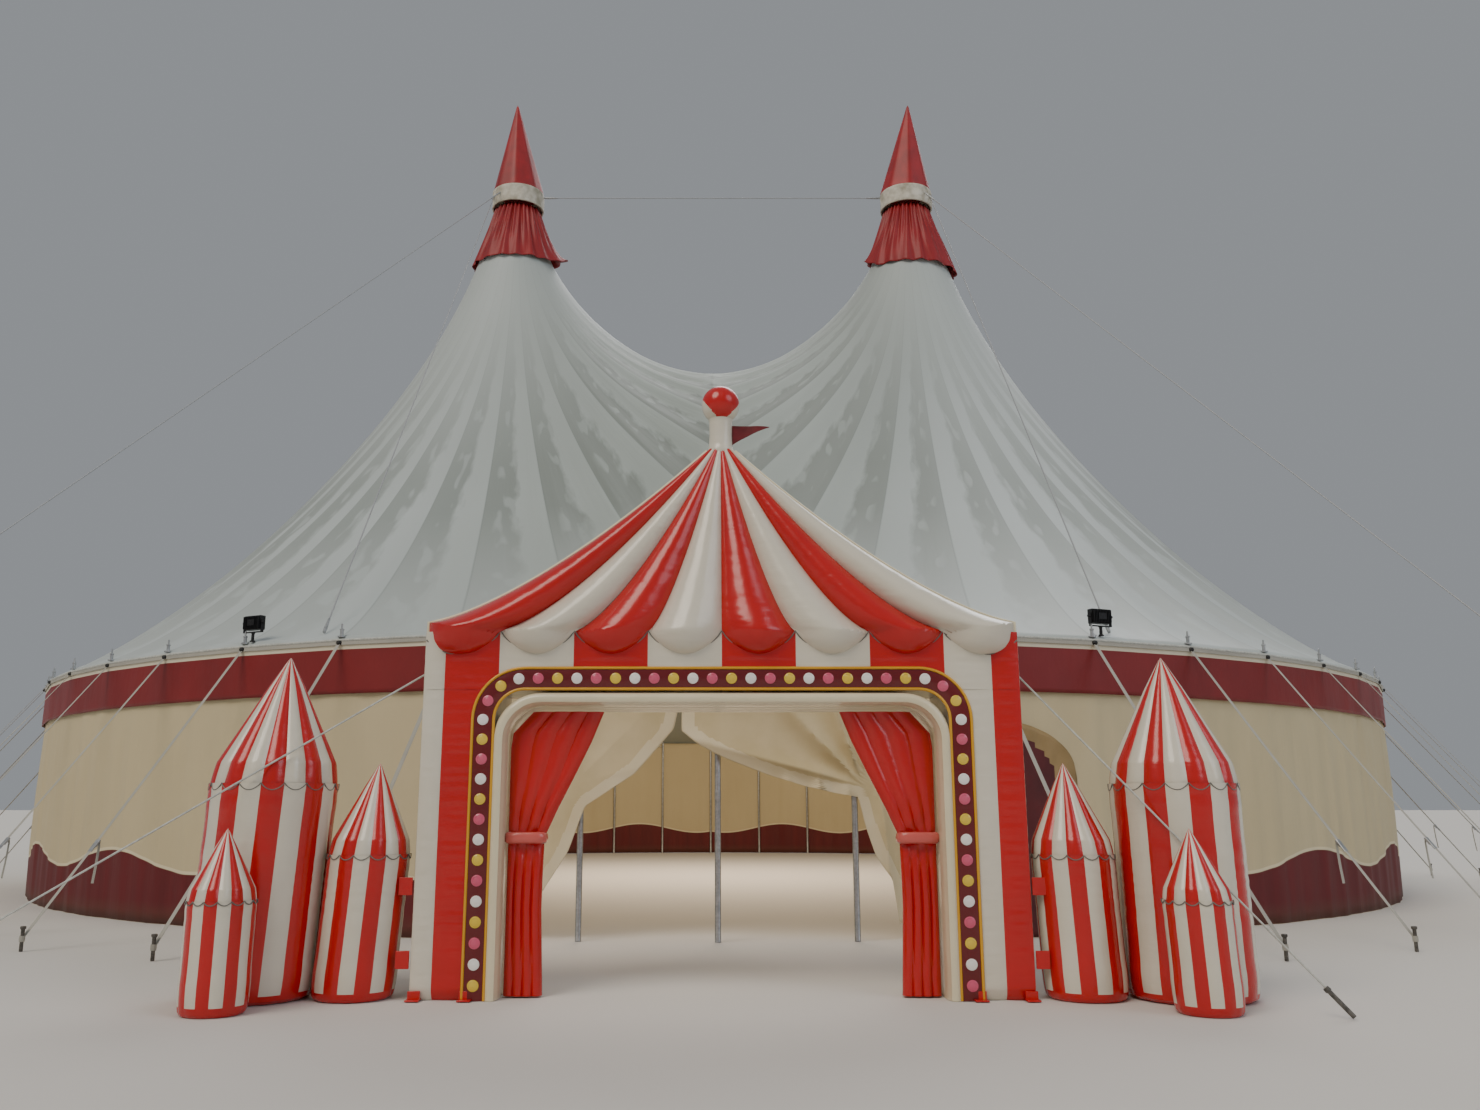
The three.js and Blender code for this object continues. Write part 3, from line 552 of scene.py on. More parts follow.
for side_name, side in SIDES.items():
    mast = mast_foot(side)

    def gathers(z, spin, phase=side * 0.7):
        """Folds whose depth and twist change down the cloth, with fewer and wider ones at the hem."""
        fall = (skirt_top - z) / skirt_drop
        wander = 0.9 * np.sin(3 * spin + phase) + 0.5 * np.sin(7 * spin - phase)
        tight = 0.034 * (1 - fall) * np.sin(skirt_folds * spin + wander + 2.0 * fall)
        wide = (0.012 + 0.014 * fall) * np.sin(skirt_folds / 2 * spin + wander - 1.4 * fall)
        return tight + wide - 0.035

    skirt = lathe(eased(skirt_flare, skirt_rows), skirt_turns, gathers)
    spin = spins(skirt_turns)
    bearing = np.degrees((-side * spin + np.pi) % (2 * np.pi) - np.pi)
    hems = [np.interp(bearing, hem_bearing, table[side_name]) for table in (hem_lift, hem_spread)]
    lift, spread = (sum(np.roll(hem, turn) for turn in hem_blur) / len(hem_blur) for hem in hems)
    peaks = 0.03 * np.abs(np.sin(4 * spin + 0.4 * side)) ** 0.6 + 0.010 * np.sin(17 * spin)
    fallen = np.linspace(0, 1, skirt_rows)[:, None]
    skirt[..., 2] += (peaks + lift) * fallen ** 4
    skirt[..., :2] *= 1 + spread[:, None] * fallen[..., None] ** 1.5
    made = piece(
        f"skirt_cloth_{side_name}", [patch(skirt[::-1] + mast, wrap=True)], [skirt_cloth], "red_fabric",
        [f"skirt_{side_name}"], closed=False, shell=0.002, crease=60
    )

# Guys, ridge cable and stays: 22 mm galvanised wire rope from the mast heads to stakes, to each other and
# to the eave. Each ends in a thimble and shackle, and the guys have a turnbuckle at the stake. The strands
# show as a fine slant.
wire_rope = Finish("galvanised_wire_rope", 0.5, Metallic=0.3)
rope_place = wire_rope.node("Mapping", {"Vector": wire_rope.cut(), "Rotation": (0, 0, 0.5)})[0]
strands = wire_rope.node("TexWave", {"Vector": rope_place, "Scale": 9.0})[0]
wire_rope.feed("Base Color", wire_rope.mix(strands, "#9C9EA0", "#B4B6B7"))
wire_rope.relief(strands, 0.001, 0.3)
rope_finishes = [wire_rope, galvanised]

cable_radius = 0.011
collar_radius = 0.636
guy_height = 16.3
ridge_height = 16.42
guy_foot = {"left": (14.3, 14.0), "right": (14.3, 12.35)}
stay_bay = 3.3
stay_turn = math.radians(60)
stake_radius = 0.022
stake_length = 0.26


def unit(vector):
    """A vector's direction."""
    return vector / np.linalg.norm(vector)


def square_to(direction):
    """A level unit vector square to a direction, which may be upright."""
    aside = np.cross(direction, (0, 0, 1.0))
    return unit(aside) if np.linalg.norm(aside) > 1e-9 else np.array([1.0, 0, 0])


def tube(start, end, radius, sides=12, rows=2, paint=0):
    """A straight round bar or cable, with its own length in metres as its second coordinate."""
    start, end = np.asarray(start, float), np.asarray(end, float)
    length = np.linalg.norm(end - start)
    path = start + (end - start) * np.linspace(0, 1, rows)[:, None]
    metres = np.concatenate([[0], np.linspace(0, length, rows), [length]])
    uv = np.stack(np.meshgrid(np.linspace(0, 1, sides + 1), metres), -1)
    return patch(sweep(path, circle(radius, sides), square_to(end - start)), wrap=True, uv=uv, paint=paint)


def spindle(start, end, outline, sides=12, paint=0):
    """A turned solid along a line, closed at both ends: each outline pair is a share of the way along
    and the radius there."""
    start, end = np.asarray(start, float), np.asarray(end, float)
    share, radius = np.array([(0, 0), *outline, (1, 0)], float).T
    aside = square_to(end - start)
    over = np.cross(unit(end - start), aside)
    spokes = circle(1.0, sides) @ np.array([aside, over])
    grid = (start + (end - start) * share[:, None])[:, None] + radius[:, None, None] * spokes
    return patch(grid, wrap=True, paint=paint)


def anchored(name, head, ground, radius, materials, slot, turnbuckle=True):
    """A taut line down to a stake driven in line with it, with or without a turnbuckle above the stake."""
    head, ground = np.asarray(head, float), np.asarray(ground, float)
    foot = ground + [0, 0, stake_radius * np.linalg.norm(unit(head - ground)[:2])]
    up = unit(head - foot)
    eye, jaw, screw = (foot + up * (stake_length + metres) for metres in (0, 0.10, 0.52))
    stake = [(0, 0.8), (0.85, 0.8), (0.9, 1.15), (1, 1)]
    bits = [
        spindle(foot, eye, [(share, width * stake_radius) for share, width in stake], paint=1),
        tube((screw if turnbuckle else eye) - up * 0.03, head, radius, rows=30)
    ]
    if turnbuckle:
        barrel = [(0.02, 0.014), (0.12, 0.014), (0.16, 0.026), (0.84, 0.026), (0.88, 0.014), (0.98, 0.014)]
        grip = [(0.04, radius * 1.5), (0.5, radius * 1.7), (0.96, radius * 1.9)]
        shackle = [(0.05, 0.012), (0.5, 0.026), (0.95, 0.012)]
        bits += [
            spindle(eye - up * 0.02, jaw, shackle, paint=1), spindle(jaw, screw, barrel, paint=1),
            spindle(head - up * 0.45, head, grip, paint=1)
        ]
    piece(name, bits, materials, slot, [name.removesuffix("_line")], crease=40)


def cable(name, start, end, rows, grip, widths, node_name):
    """A cable with a swaged grip at each end, of a length and two greatest radii."""
    pull = unit(end - start) * grip
    bits = [
        tube(start, end, cable_radius, rows=rows),
        spindle(start, start + pull, [(0.03, 0.02), (0.3, widths[0]), (0.97, 0.016)], paint=1),
        spindle(end - pull, end, [(0.03, 0.016), (0.7, widths[1]), (0.97, 0.02)], paint=1)
    ]
    piece(name, bits, rope_finishes, "cable", [node_name], crease=40)


def collar_point(side, outward, height):
    """The point of the sleeve that faces a level direction from the mast."""
    return mast_foot(side) + [0, 0, height] + unit(np.array([*outward, 0.0])) * collar_radius


for side_name, side in SIDES.items():
    for end_name, end in (("front", -1), ("back", 1)):
        foot_x, foot_y = guy_foot[side_name]
        ground = (side * foot_x, end * foot_y + tent_y, 0.0)
        head = collar_point(side, (side * (foot_x - mast_x), end * foot_y), guy_height)
        anchored(f"guy_{end_name}_{side_name}_line", head, ground, cable_radius, rope_finishes, "cable")
        eave_bay = np.array(side * stay_bay if end < 0 else side * (outer_gores - stay_bay))
        tail_plan = ring(eave_bay, eave_radius - 0.25)
        tail = stood(tail_plan, roof_height(*tail_plan) + cable_radius + 0.004)
        top = collar_point(side, (side * math.sin(stay_turn), end * math.cos(stay_turn)), guy_height)
        stay = f"stay_{end_name}_{side_name}"
        cable(f"{stay}_line", tail, top, 30, 0.3, (0.024, 0.022), stay)
ridge_ends = [np.array([side * (mast_x - 0.638), tent_y, ridge_height]) for side in SIDES.values()]
cable("ridge_line", *ridge_ends, 24, 0.35, (0.026, 0.026), "ridge_cable")

# Side poles: 76 mm galvanised tubes under the eave rope, each with a foot disc and a spigot through the
# canopy's edge. The rope that ties their heads together is pale polypropylene.
pole_radius = 0.038
pole_ring = 13.2951
eave_rope_height = 3.46
pole_groups = {
    "door_poles": (-2, 2), "side_poles_right_front": (3, 14), "side_poles_right_back": (15, 26),
    "side_poles_left_back": (27, 38), "side_poles_left_front": (39, 49)
}
pole_outline = [
    (0, 0.036), (0.002, 0.037), (0.003, 0.0355), (0.44, 0.0355), (0.445, pole_radius), (0.47, pole_radius),
    (0.475, 0.0355), (0.985, 0.0355), (0.99, 0.03), (1, 0.03)
]
spigot_outline = [
    (0, 0.05), (0.1, 0.05), (0.12, 0.022), (0.5, 0.022), (0.52, 0.03), (0.6, 0.03), (0.62, 0.012),
    (0.96, 0.012)
]


def on_ring(bay, radius, z):
    """A point of the ring of poles in the frame."""
    return stood(ring(np.array(float(bay)), radius), z)


for group, (first, last) in pole_groups.items():
    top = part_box(group)[1][2]
    bits = []
    for bay in range(first, last + 1):
        foot, head = (on_ring(bay, pole_ring, z) for z in (0.0, top))
        bits.append(spindle(foot, head, pole_outline, sides=20))
        if bay < last:
            ties = (on_ring(i, pole_ring, eave_rope_height) for i in (bay, bay + 1))
            bits.append(tube(*ties, 0.012, sides=8, paint=1))
    piece(f"{group}_tubes", bits, [galvanised, pale_rope], "pole_steel", [group], crease=40)

spigots = []
for bay in range(pole_count):
    low, high = (on_ring(bay, eave_radius - 0.03, eave_height + rise) for rise in (-0.01, 0.17))
    spigots.append(spindle(low, high, spigot_outline, sides=10))
piece("pole_spigots", spigots, [galvanised], "pole_steel", crease=40)

# Straps: 50 mm grey polyester webbing from a belt round the eave to steel stakes, drawn tight with a
# ratchet. Webbing shows a rib along it and lighter edges, and the free tail hangs from the ratchet.
strap_reach = 16.0
belt_middle = 3.523
strap_foot = 0.13
webbing = Finish("polyester_webbing", 0.8)
rib_place = webbing.scaled(webbing.cut(), 0, 1, 1)
ribs = webbing.node("TexWave", {"Vector": rib_place, "Scale": 12.0}, bands_direction="Y")[0]
worn_places = webbing.noise(webbing.place(), 1.1, 3.0)
webbing.feed("Base Color", webbing.mix(worn_places, "#8F8D84", "#BDBAAE"))
webbing.relief(ribs, 0.002, 0.5)
dark_steel = toned("weathered_stake_steel", "#4A4743", "#77736C", 0.02, 0.55, 0.001, Metallic=0.7)
black_shackle = toned("black_painted_shackle", "#141414", "#262523", 0.02, 0.5, 0.001, Metallic=0.3)


def ribbon(path, across, width, thickness, paint=0):
    """A flat strap along a path, its width across and its edges slightly thinned."""
    half, slim = width / 2, thickness / 2
    corners = [(-1, -0.5), (-0.9, -1), (0.9, -1), (1, -0.5), (1, 0.5), (0.9, 1), (-0.9, 1), (-1, 0.5)]
    profile = np.array(corners) * [half, slim]
    path = np.asarray(path, float)
    lengths = metres_along(path)
    metres = np.concatenate([[0], lengths, lengths[-1:]])
    uv = np.stack(np.meshgrid(np.linspace(0, 1, len(profile) + 1), metres), -1)
    return patch(sweep(path, profile, across), wrap=True, uv=uv, paint=paint)


def slab(low, high, paint=0, place=None):
    """A block between two corners, as a strip round it and its two ends; place moves its points."""
    (x0, y0, z0), (x1, y1, z1) = low, high
    loop = np.array([(x0, y0), (x1, y0), (x1, y1), (x0, y1)])
    rows = [np.column_stack([loop, np.full(4, z)]) for z in (z0, z1)]
    ends = [np.array([[r[0], r[1]], [r[3], r[2]]]) for r in rows]
    parts = [patch(np.array(rows), wrap=True, paint=paint), *(patch(end, paint=paint) for end in ends)]
    return [((place(p) if place else p), q, k, u) for p, q, k, u in parts]


strap_bays = ((2, 14), (15, 26), (27, 38), (39, 50))
strap_stake = [(0, 0.02), (0.86, 0.02), (0.9, 0.03), (0.98, 0.031), (1, 0.022)]
strap_wrap = [(0, 0.029), (0.5, 0.031), (1, 0.029)]
strap_shackle = [(0, 0.03), (0.5, 0.04), (1, 0.03)]
UP = np.array([0, 0, 1.0])
tent_middle = np.array([0, tent_y, 0])
strap_share = np.linspace(0, 1, 15)[:, None]
strap_sag = -0.02 * UP * 4 * strap_share * (1 - strap_share)
for quarter, (first, last) in zip(quarters, strap_bays):
    belt_bays = np.linspace(first, last, (last - first) * 4 + 1)
    belt = stood(ring(belt_bays, eave_radius + 0.0085), belt_middle)
    bits = [ribbon(belt, UP, 0.05, 0.008)]
    for bay in range(first, last + 1):
        angle = bay * 2 * np.pi / pole_count
        outward = polar(1.0, angle, 0)
        across = np.array([np.cos(angle), np.sin(angle), 0])
        nudge = outward * 1e-4
        stake = tent_middle + outward * strap_reach
        head = tent_middle + outward * (eave_radius + 0.012) + UP * belt_middle
        foot = stake + UP * strap_foot
        bits.append(ribbon(head + (foot - head) * strap_share + strap_sag, across, 0.05, 0.005))
        slope = unit(foot - head)
        grip = head + (foot - head) * 0.70
        over = np.cross(across, slope)
        for lift, length, wide in ((0.012, 0.16, 0.064), (0.026, 0.09, 0.05)):
            path = [grip + over * lift, grip + over * lift + slope * length]
            bits.append(ribbon(path, across, wide, 0.016, paint=1))
        hang = ((0.02, 0), (0.03, 0.05), (0.01, 0.28), (-0.02, 0.5))
        tail = [grip + over * lift - UP * fall for lift, fall in hang]
        bits.append(ribbon(eased(tail, 9), across, 0.045, 0.003))
        for low, high, outline, paint in (
            (stake, stake + UP * 0.26 + nudge, strap_stake, 2),
            (foot - UP * 0.03, foot + UP * 0.03 + nudge, strap_wrap, 0),
            (head - slope * 0.01 - UP * 0.03, head + UP * 0.03, strap_shackle, 3)
        ):
            bits.append(spindle(low, high, outline, sides=10, paint=paint))
    finishes = [webbing, galvanised, dark_steel, black_shackle]
    piece(f"straps_{quarter}_webbing", bits, finishes, "webbing", [f"straps_{quarter}"])

# Side wall: cream coated cloth hung from the eave, in six laced panels with soft upright folds.
# A maroon band with a waved upper edge and a pale hem line runs round its foot, where the ground wets it.
wall_face = 13.352
wall_top = 3.575
wave_height = 0.78
wave_rise = 0.14
wave_bays = pole_count / 22
wall_panels = ("right_front", "right_side", "right_back", "left_back", "left_side", "left_front")
panel_bays = 8
cream = Finish("coated_polyester_wall", 0.62)
wall_cut = cream.cut()
round_wall, up_wall, _ = cream.split(wall_cut)
wave_turn = cream.maths("MULTIPLY_ADD", round_wall, 2 * math.pi / wave_bays, -0.8)
wave_edge = cream.maths("MULTIPLY_ADD", cream.maths("SINE", wave_turn), wave_rise, wave_height)
over_edge = cream.maths("SUBTRACT", up_wall, wave_edge)
hem_low, hem_high = (cream.span(over_edge, *edge) for edge in ((0.0, 0.006), (0.045, 0.039)))
hem_line = cream.maths("MULTIPLY", hem_low, hem_high)
wall_clouds = cream.noise(cream.place(), 0.55, 5.0, 0.6)
# Upright streaks: a relief for the folds, and painted fold shade in the cream and in the maroon foot.
fold_relief_and_shade = cream.noise(cream.scaled(wall_cut, 7.0, 0.5, 1.0), 1.0, 3.0)
cream_tone = cream.mix(fold_relief_and_shade, cream.mix(wall_clouds, "#BBAA82", "#D3C6A3"), "#C9BB95")
cream_hemmed = cream.mix(hem_line, cream_tone, "#DDD2B2")
splash = cream.span(up_wall, 0.28, 0.0, top=0.5)
# The foot is maroon with painted fold shade, and darker brown mud towards the ground.
foot_mud_and_fold_shade = cream.mix(splash, cream.mix(fold_relief_and_shade, "#4E0C10", "#701419"), "#5B4A38")
cream_share = cream.span(over_edge, -0.004, 0.004)
cream.feed("Base Color", cream.mix(cream_share, foot_mud_and_fold_shade, cream_hemmed))
cream.relief(fold_relief_and_shade, 0.03, 0.5)


def upright_folds(bay, z):
    """Folds in the hanging cloth, as metres out from the wall: waves of several widths along it.

    They are deepest half way down. Up behind the valance the cloth is drawn flat, and at the poles it
    can't go inwards.
    """
    hang = 0.2 + 0.8 * np.sin(np.pi * np.clip((3.1 - z) / 3.6, 0, 1)) ** 0.8 * (z < 3.1)
    broad = 0.5 + 0.5 * np.sin(2 * np.pi * bay * 1.1 + 0.9 * np.sin(bay * 0.9) + 0.35 * z)
    middle = 0.5 + 0.5 * np.sin(2 * np.pi * bay * 3.3 + 1.7 * np.sin(bay * 1.3) - 0.3 * z)
    sharp = 1 - np.abs(np.sin(np.pi * bay * 2.3 + 1.1 * np.sin(bay * 2.1) + 0.2 * z)) ** 0.7
    return 0.06 * hang * (0.35 * broad + 0.3 * middle + 0.35 * sharp) - 0.012


for order, panel in enumerate(wall_panels):
    first = 2 + order * panel_bays
    bays = np.linspace(first, first + panel_bays, panel_bays * 36 + 1)
    bay, z = np.meshgrid(bays, np.linspace(0.004, wall_top, 26))
    cloth = stood(ring(bay, wall_face) * (1 + upright_folds(bay, z) / wall_face)[..., None], z)
    laid = np.stack([np.where(bay > outer_gores, pole_count - bay, bay), z], -1)
    made = piece(
        f"wall_{panel}_cloth", [patch(cloth[:, ::-1], uv=laid[:, ::-1])], [cream], "side_wall",
        [f"wall_{panel}"], closed=False, shell=0.002, crease=60
    )

# Door flap: an arched maroon cloth with a broad tan border, laced over the wall right of the doorway.
flap_left, flap_right, flap_shoulder = 2.0, 2.78, 1.85
flap_face = 13.382
flap_ends = 0.767
maroon_flap = toned("coated_polyester_flap", "#3F0B0F", "#5E1216", 0.4, 0.55, 0.02)
tan_border = toned("coated_polyester_border", "#8C7448", "#A88E60", 0.3, 0.6, 0.015)
share_across, share_up = np.meshgrid(np.linspace(0, 1, 41), np.linspace(0, 1, 41))
outer_arc, inner_arc = (
    flap_shoulder + rise * (1 - np.clip(share_across / width, 0, 1) ** 2.2) ** (1 / 2.2)
    for rise, width in ((0.70, 1.0), (0.58, flap_ends))
)
flap_z = 0.01 + (outer_arc - 0.01) * share_up
flap_bay = flap_left + (flap_right - flap_left) * share_across
flap_ripple = 1 + 0.004 * np.sin(flap_bay * 40) / 13.38
flap_cloth = stood(ring(flap_bay, flap_face) * flap_ripple[..., None], flap_z)
maroon_part = ((share_across < flap_ends) & (flap_z < inner_arc))[1:, 1:]
made = piece(
    "door_flap", [patch(flap_cloth[:, ::-1], paint=np.where(maroon_part, 0, 1)[:, ::-1])],
    [maroon_flap, tan_border], "side_wall", closed=False, shell=0.002, crease=60
)

# Door drapes: the doorway's own two cream curtains, swept aside from the middle of the eave and tied to
# the poles. The right one's folds fan out from its tie up to the eave, with a pale hem, and the left one
# is drawn nearly flat. Each has its jamb and the points of its free edge in bays and metres of height.
drape_cloth = toned("coated_polyester_drape", "#C3B184", "#D8C89F", 0.5, 0.62, 0.004)
drape_hem = toned("coated_polyester_drape_hem", "#D8C9A2", "#E2D6B6", 0.5, 0.6, 0.004)
bay_metres = 1.61
drape_face = 13.345
tie_at = (1.70, 1.75)
drapes = {
    "left": (-1.99, 0.012, [
        (-0.275, 3.575), (-0.285, 2.65), (-0.32, 2.4), (-0.6, 1.89), (-0.96, 1.515), (-1.08, 1.0),
        (-1.26, 0.555)
    ]),
    "right": (1.99, 0.10, [
        (-0.262, 3.575), (-0.262, 2.38), (-0.15, 2.23), (0.0, 2.1), (0.12, 2.02), (0.37, 1.87),
        (0.65, 1.735), (0.85, 1.665), (1.02, 1.62), (1.07, 1.29), (1.14, 0.96), (1.25, 0.67), (1.3, 0.2)
    ])
}
for side_name, (jamb, depth, edge) in drapes.items():
    swept = eased(edge, 81)
    share = np.linspace(0, 1, 97)
    bay = jamb + (swept[:, :1] - jamb) * share
    z = np.repeat(swept[:, 1:], len(share), 1)
    off_x, off_z = np.abs(bay) * np.sign(bay * jamb) * bay_metres - tie_at[0], z - tie_at[1]
    fan = np.arctan2(-off_x, np.maximum(off_z, 1e-3))
    above = np.clip((off_z + 0.05) / 0.25, 0, 1)
    fanned = 1 - np.abs(np.sin(7.5 * fan + 0.6 * np.sin(3 * fan))) ** 0.8
    upright = 1 - np.abs(np.sin(9 * off_x + 0.8 * z)) ** 0.8
    fold = fanned * above + upright * (1 - above)
    open_out = np.clip(np.hypot(off_x, off_z) / 0.5, 0.25, 1) * np.clip((3.6 - z) / 0.7, 0.1, 1)
    cloth = stood(ring(bay, 1.0) * (drape_face + depth * fold * open_out)[..., None], z)
    flat = np.stack([bay * bay_metres, z], -1)
    to_edge = np.linalg.norm(flat[:, :, None] - flat[:, -1][None, None], axis=-1).min(axis=-1)
    hemmed = (to_edge < 0.12)[1:, 1:].astype(int)
    turned = slice(None, None, -1 if side_name == "left" else 1)
    made = piece(
        f"door_drape_{side_name}_cloth", [patch(cloth[:, turned], paint=hemmed[:, turned])],
        [drape_cloth, drape_hem], "side_wall", [f"door_drape_{side_name}"], closed=False, shell=0.002,
        crease=60
    )

# Arch: welded vinyl held up by air, red and off-white stripes that puff out between their seams.
# The vinyl is glossy, with short puckers along each weld.
(_, arch_front, _), (_, arch_back, _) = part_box("arch_leg_left")
arch_middle = (arch_front + arch_back) / 2
arch_half = -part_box("arch_leg_left")[0][0]
arch_eave = 2.97
arch_shoulder = 3.05
arch_corner = 2.89
arch_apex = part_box("arch_roof")[1][2]
neck_radius = 0.105
arch_gores = 8


def vinyl(name, dark, light):
    """Glossy welded vinyl: nearly even in colour, with wide soft dents and fine puckers."""
    finish = Finish(name, 0.24, Coat_Weight=0.25, Coat_Roughness=0.12)
    place = finish.place()
    finish.feed("Base Color", finish.mix(finish.noise(place, 1.4, 3.0), dark, light))
    dents = finish.noise(place, 4.5, 2.0)
    puckers = finish.noise(finish.scaled(place, 5.0, 5.0, 26.0), 1.0, 3.0)
    finish.relief(finish.maths("MULTIPLY_ADD", puckers, 0.22, dents), 0.02, 0.55)
    return finish


red_vinyl = vinyl("welded_red_vinyl", "#B00F0D", "#C81512")
white_vinyl = vinyl("welded_white_vinyl", "#CFC8B5", "#DDD7C6")
cream_vinyl = vinyl("welded_cream_vinyl", "#D6C9A6", "#E4DABC")
stripe_vinyls = [red_vinyl, white_vinyl]
seam_grey = toned("grey_weld_tape", "#5E5D58", "#77766F", 0.05, 0.6, 0.001)
RED, WHITE = 0, 1


def arch_outline(z, aside=1.0):
    """Half the roof's width and half its depth at a height; the slope starts higher at the two ends."""
    foot = arch_eave + (arch_shoulder - arch_eave) * np.abs(aside) ** 8
    up = np.clip((z - foot) / (arch_apex - foot), 0, 1)
    half = neck_radius + (arch_half - 0.005 - neck_radius) * (1 - up ** 0.71)
    return up, half, neck_radius + ((arch_back - arch_front) / 2 - neck_radius) * (1 - up)


def arch_hem(gore):
    """The height of the scalloped hem along the roof's front, with cusps between the gores.

    The two corners end round.
    """
    bulge = np.abs(np.sin(np.pi * gore))
    ends = arch_eave - 0.20 + (arch_corner - arch_eave + 0.20) * (1 - bulge) ** 1.5
    return np.where(
        np.abs(gore - arch_gores / 2) > arch_gores / 2 - 0.5, ends, arch_eave - 0.20 * bulge ** 0.8
    )


def closing_in(rise, reach):
    """A quarter ellipse: 0 at the scallop's edge, 1 from a reach above it."""
    return np.sqrt(1 - (1 - np.clip(rise / reach, 0, 1)) ** 2)


def arch_roof_face(facing):
    """One face of the arch's roof: eight gores that rise to the neck and bulge between their seams.

    The outline follows a power of the height, each gore ends below in a rounded scallop, and the bulge is
    a power of a half sine across the gore, closed at the scallop by a quarter ellipse.
    """
    gore, rise = np.meshgrid(np.linspace(0, arch_gores, arch_gores * 18 + 1), np.linspace(0, 1, 81) ** 1.5)
    bulge = np.abs(np.sin(np.pi * gore))
    low = arch_hem(gore)
    z = low + (arch_apex - low) * rise
    aside = 2 * gore / arch_gores - 1
    up, half, depth = arch_outline(z, aside)
    rounded = depth * (1 - 0.12 * np.abs(aside) ** 30)
    closing = closing_in(z - low, 0.30)
    pucker = 1 + 0.05 * np.sin(z * 60 + 7 * np.sin(z * 9 + gore)) * (1 - bulge) * closing
    puff = 0.27 * (2 * half / arch_gores) * bulge ** 0.75 * closing * pucker
    grid = np.stack([half * aside, arch_middle + facing * (rounded + puff), z + 0.3 * puff * up], -1)
    colour = np.arange(arch_gores * 18) // 18 % 2
    return patch(grid[:, ::-facing], paint=colour[::-facing])


def arch_roof_side(side):
    """The end of the arch's roof: one off-white gore between the front and the back faces."""
    across, rise = np.meshgrid(np.linspace(-1, 1, 25), np.linspace(0, 1, 81) ** 1.5)
    bulge = np.cos(np.pi / 2 * across) ** 0.75
    low = arch_corner - 0.08 * bulge
    z = low + (arch_apex - low) * rise
    up, half, depth = arch_outline(z)
    closing = closing_in(z - low, 0.30)
    puff = 0.05 * bulge * closing * (0.2 + 0.8 * (1 - up))
    grid = np.stack([side * (half + puff), arch_middle + depth * 0.88 * across, z], -1)
    return patch(grid[:, ::-side], paint=WHITE)


def thread(path, radius, paint=0):
    """A thin weld or piping along a path."""
    return patch(sweep(path, circle(radius, 8), (0, 1.0, 0.02)), wrap=True, paint=paint)


roof_bits = [face(way) for face in (arch_roof_face, arch_roof_side) for way in (-1, 1)]
piece("arch_roof_gores", roof_bits, stripe_vinyls, "red_vinyl", ["arch_roof"], closed=False, crease=28)

welds = []
weld_rise = arch_shoulder + (arch_apex - arch_shoulder) * np.linspace(0, 0.99, 50) ** 1.3
for facing in (-1, 1):
    gore = np.linspace(0, arch_gores, arch_gores * 20 + 1)
    line_x = (2 * gore / arch_gores - 1) * (arch_half - 0.005)
    line_y = arch_middle + facing * ((arch_back - arch_front) / 2 + 0.006)
    welds.append(thread(np.column_stack([line_x, np.full(len(gore), line_y), arch_hem(gore)]), 0.006))
    for side in (-1, 1):
        z = np.append([arch_corner], weld_rise)
        up, half, depth = arch_outline(z)
        edge = np.column_stack([side * half, arch_middle + facing * depth * 0.88, z])
        welds.append(thread(edge, 0.016, paint=1))
piece("arch_roof_welds", welds, [seam_grey, cream_vinyl], "white_vinyl", crease=60)


def striped_column(stripes, rows, bottom=False):
    """A column whose plan is a closed run of stripes, each bulging out as a power of a half sine.

    A stripe is its start, its bulge and its colour, and it ends where the next starts. The foot is
    drawn in where bottom says so.
    """
    starts = np.array([stripe[0] for stripe in stripes])
    ends = np.roll(starts, -1, axis=0)
    share = np.linspace(0, 1, 16, endpoint=False)
    chord = ends - starts
    outward = np.stack([chord[:, 1], -chord[:, 0]], -1) / np.linalg.norm(chord, axis=1, keepdims=True)
    bulge = np.array([stripe[1] for stripe in stripes])[:, None] * np.sin(np.pi * share) ** 0.7
    pucker = 1 + 0.12 * np.sin(rows * 47 + 3 * np.sin(rows * 11)) + 0.08 * np.sin(rows * 90)
    puffed = outward[:, None] * bulge[..., None]
    plan = starts[:, None] + chord[:, None] * share[:, None] + puffed * pucker[:, None, None, None]
    plan = plan.reshape(len(rows), -1, 2)
    centre = plan[0].mean(0)
    drawn = 1 - 0.10 * np.clip(1 - (rows - rows[0]) / 0.10, 0, 1) ** 2 if bottom else np.ones_like(rows)
    plan = centre + (plan - centre) * drawn[:, None, None]
    grid = np.concatenate([plan, np.broadcast_to(rows[:, None, None], plan.shape[:2] + (1,))], -1)
    caps = [np.broadcast_to([*centre, z], (1,) + grid.shape[1:]) for z in (rows[0], rows[-1])]
    grid = np.concatenate([caps[0], grid, caps[1]])
    return patch(grid, wrap=True, paint=np.repeat([stripe[2] for stripe in stripes], len(share)))


leg_top = 2.475
leg_inner = 1.905
leg_seams = {"left": (2.33, RED, WHITE), "right": (2.27, WHITE, RED)}
end_depth = (arch_back - arch_front) / 3
for side_name, side in SIDES.items():
    seam, near, far = leg_seams[side_name]
    run = [((leg_inner, arch_front), 0.015, near), ((seam, arch_front), 0.015, far)]
    run += [((arch_half, arch_front + end_depth * i), 0.02, WHITE) for i in range(3)]
    run += [
        ((arch_half, arch_back), 0.02, far), ((seam, arch_back), 0.03, near),
        ((leg_inner, arch_back), 0.0, WHITE)
    ]
    if side < 0:
        run = [((-x, y), bulge, colour) for (x, y), bulge, colour in run[::-1]]
        run = [(stripe[0], *following[1:]) for stripe, following in zip(run, run[1:] + run[:1])]
    leg = striped_column(run, np.linspace(0.0, leg_top, 110), bottom=True)
    node_name = f"arch_leg_{side_name}"
    piece(f"{node_name}_vinyl", [leg], stripe_vinyls, "red_vinyl", [node_name], crease=28)

